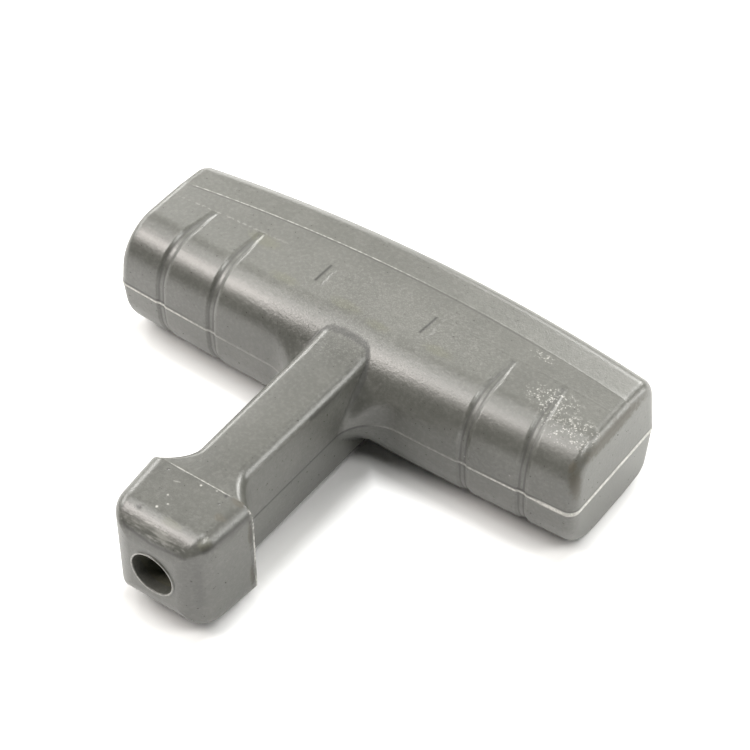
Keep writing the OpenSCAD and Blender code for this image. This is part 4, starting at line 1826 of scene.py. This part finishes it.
@dataclass
class Studio:
    """Pale floor and soft light from boxes all round, brightest at the left, the right and behind.

    Args:
        floor_size: Side of the floor, in metres.
        floor_colour: Its colour.
        floor_glow: How strongly it glows to the camera, away from the handle.
        footprints: Middle and half size of the floor areas under bar and arm, which don't glow.
        glow_from: Distance from them at which the glow begins, in metres.
        glow_full: Distance at which it is full.
        sky: Strength of the even light from all round.
        boxes: The soft light boxes.
    """

    floor_size: float = 4.0
    floor_colour: Colour = (0.92, 0.92, 0.92, 1.0)
    floor_glow: float = 0.6
    footprints: tuple[tuple[Triple, Triple], ...] = (
        ((0.0, 0.0275, 0.0), (0.052, 0.0165, 0.1)),
        ((0.0, -0.0175, 0.0), (0.008, 0.0275, 0.1)),
    )
    glow_from: float = 0.0005
    glow_full: float = 0.007
    sky: float = 0.02
    boxes: tuple[Softbox, ...] = (
        Softbox("left_mid", -50, 45, 10.5, tint=(1.0, 0.94, 0.9)),
        Softbox("left_high", -80, 63, 3.9),
        Softbox("left_high_front", -40, 63, 5.9, tint=(1.0, 0.97, 0.94)),
        Softbox("left_low", -79, 27, 7.7),
        Softbox("top", -135, 81, 7.1, 14.0),
        Softbox("right_mid", 111, 45, 3.4),
        Softbox("right_high", 80, 63, 10.0),
        Softbox("right_low", 120, 27, 5.7),
        Softbox("right_horizon", 130, 9, 6.0),
        Softbox("back_mid", 166, 45, 2.8),
        Softbox("back_low_right", 170, 27, 8.0),
        Softbox("back_low_middle", -170, 27, 6.8),
        Softbox("back_left_mid", -166, 45, 1.1),
        Softbox("back_left_side", -138, 45, 1.0),
        Softbox("back_low_left", -124, 27, 8.0),
        Softbox("back_low_side", -101, 27, 4.2),
        Softbox("back_horizon", -146, 9, 3.1),
        Softbox("left_horizon", -110, 9, 1.1),
    )

    def floor_material(self) -> bpy.types.Material:
        """White floor that glows to the camera a little way off the handle, as an overlit one does."""
        material = bpy.data.materials.new("pale_floor")
        material.use_nodes = True
        graph = Graph(material.node_tree)
        shader = material.node_tree.nodes["Principled BSDF"]
        shader.inputs["Base Color"].default_value = self.floor_colour
        shader.inputs["Roughness"].default_value = 0.8
        shader.inputs["Emission Color"].default_value = (1.0, 1.0, 1.0, 1.0)
        spot = graph.node("ShaderNodeTexCoord").outputs["Object"]
        gaps = []
        for middle, half in self.footprints:
            side = graph.vector("ABSOLUTE", graph.vector("SUBTRACT", spot, middle))
            over = graph.vector("MAXIMUM", graph.vector("SUBTRACT", side, half), (0.0, 0.0, 0.0))
            gaps.append(graph.vector("LENGTH", over))
        away = graph.step(graph.math("MINIMUM", *gaps), self.glow_from, self.glow_full)
        seen = graph.node("ShaderNodeLightPath").outputs["Is Camera Ray"]
        graph.feed(shader.inputs["Emission Strength"], graph.product(away, seen, self.floor_glow))
        return material

    def build(self, aim: Vector) -> None:
        """Makes the floor, the lights and the world.

        Args:
            aim: The point that the lights face, in metres.
        """
        scene = bpy.context.scene
        scene.view_settings.view_transform = "Standard"
        mesh = bpy.data.meshes.new("floor")
        half = self.floor_size / 2
        square = [(-half, -half, 0), (half, -half, 0), (half, half, 0), (-half, half, 0)]
        mesh.from_pydata(square, [], [(0, 1, 2, 3)])
        floor = bpy.data.objects.new("floor", mesh)
        scene.collection.objects.link(floor)
        mesh.materials.append(self.floor_material())
        for box in self.boxes:
            box.build(aim)
        world = bpy.data.worlds.new("studio")
        world.use_nodes = True
        background = world.node_tree.nodes["Background"]
        background.inputs["Color"].default_value = (1, 1, 1, 1)
        background.inputs["Strength"].default_value = self.sky
        scene.world = world


def main() -> None:
    """Builds the camera, the handle and the studio in order."""
    logging.basicConfig(level=logging.INFO, format="%(name)s: %(message)s")
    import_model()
    low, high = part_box(NODE)
    parting_z = (low.z + high.z) / 2
    View().build(high.y, parting_z)
    form = HandleForm.from_frame()
    wear_and_painted_light = WearAndPaintedLight()
    body = HandleBody(form, SkinGrid(form), wear_and_painted_light).build()
    HandleDress(Finish(), form, Vector((0, high.y, parting_z)), wear_and_painted_light).apply(body)
    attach(body, "root")
    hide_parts(NODE)
    LOG.info("%s: %d triangles", body.name, len(body.data.polygons))
    Studio().build(Vector((0, 0, parting_z)))


if __name__ == "__main__":
    main()
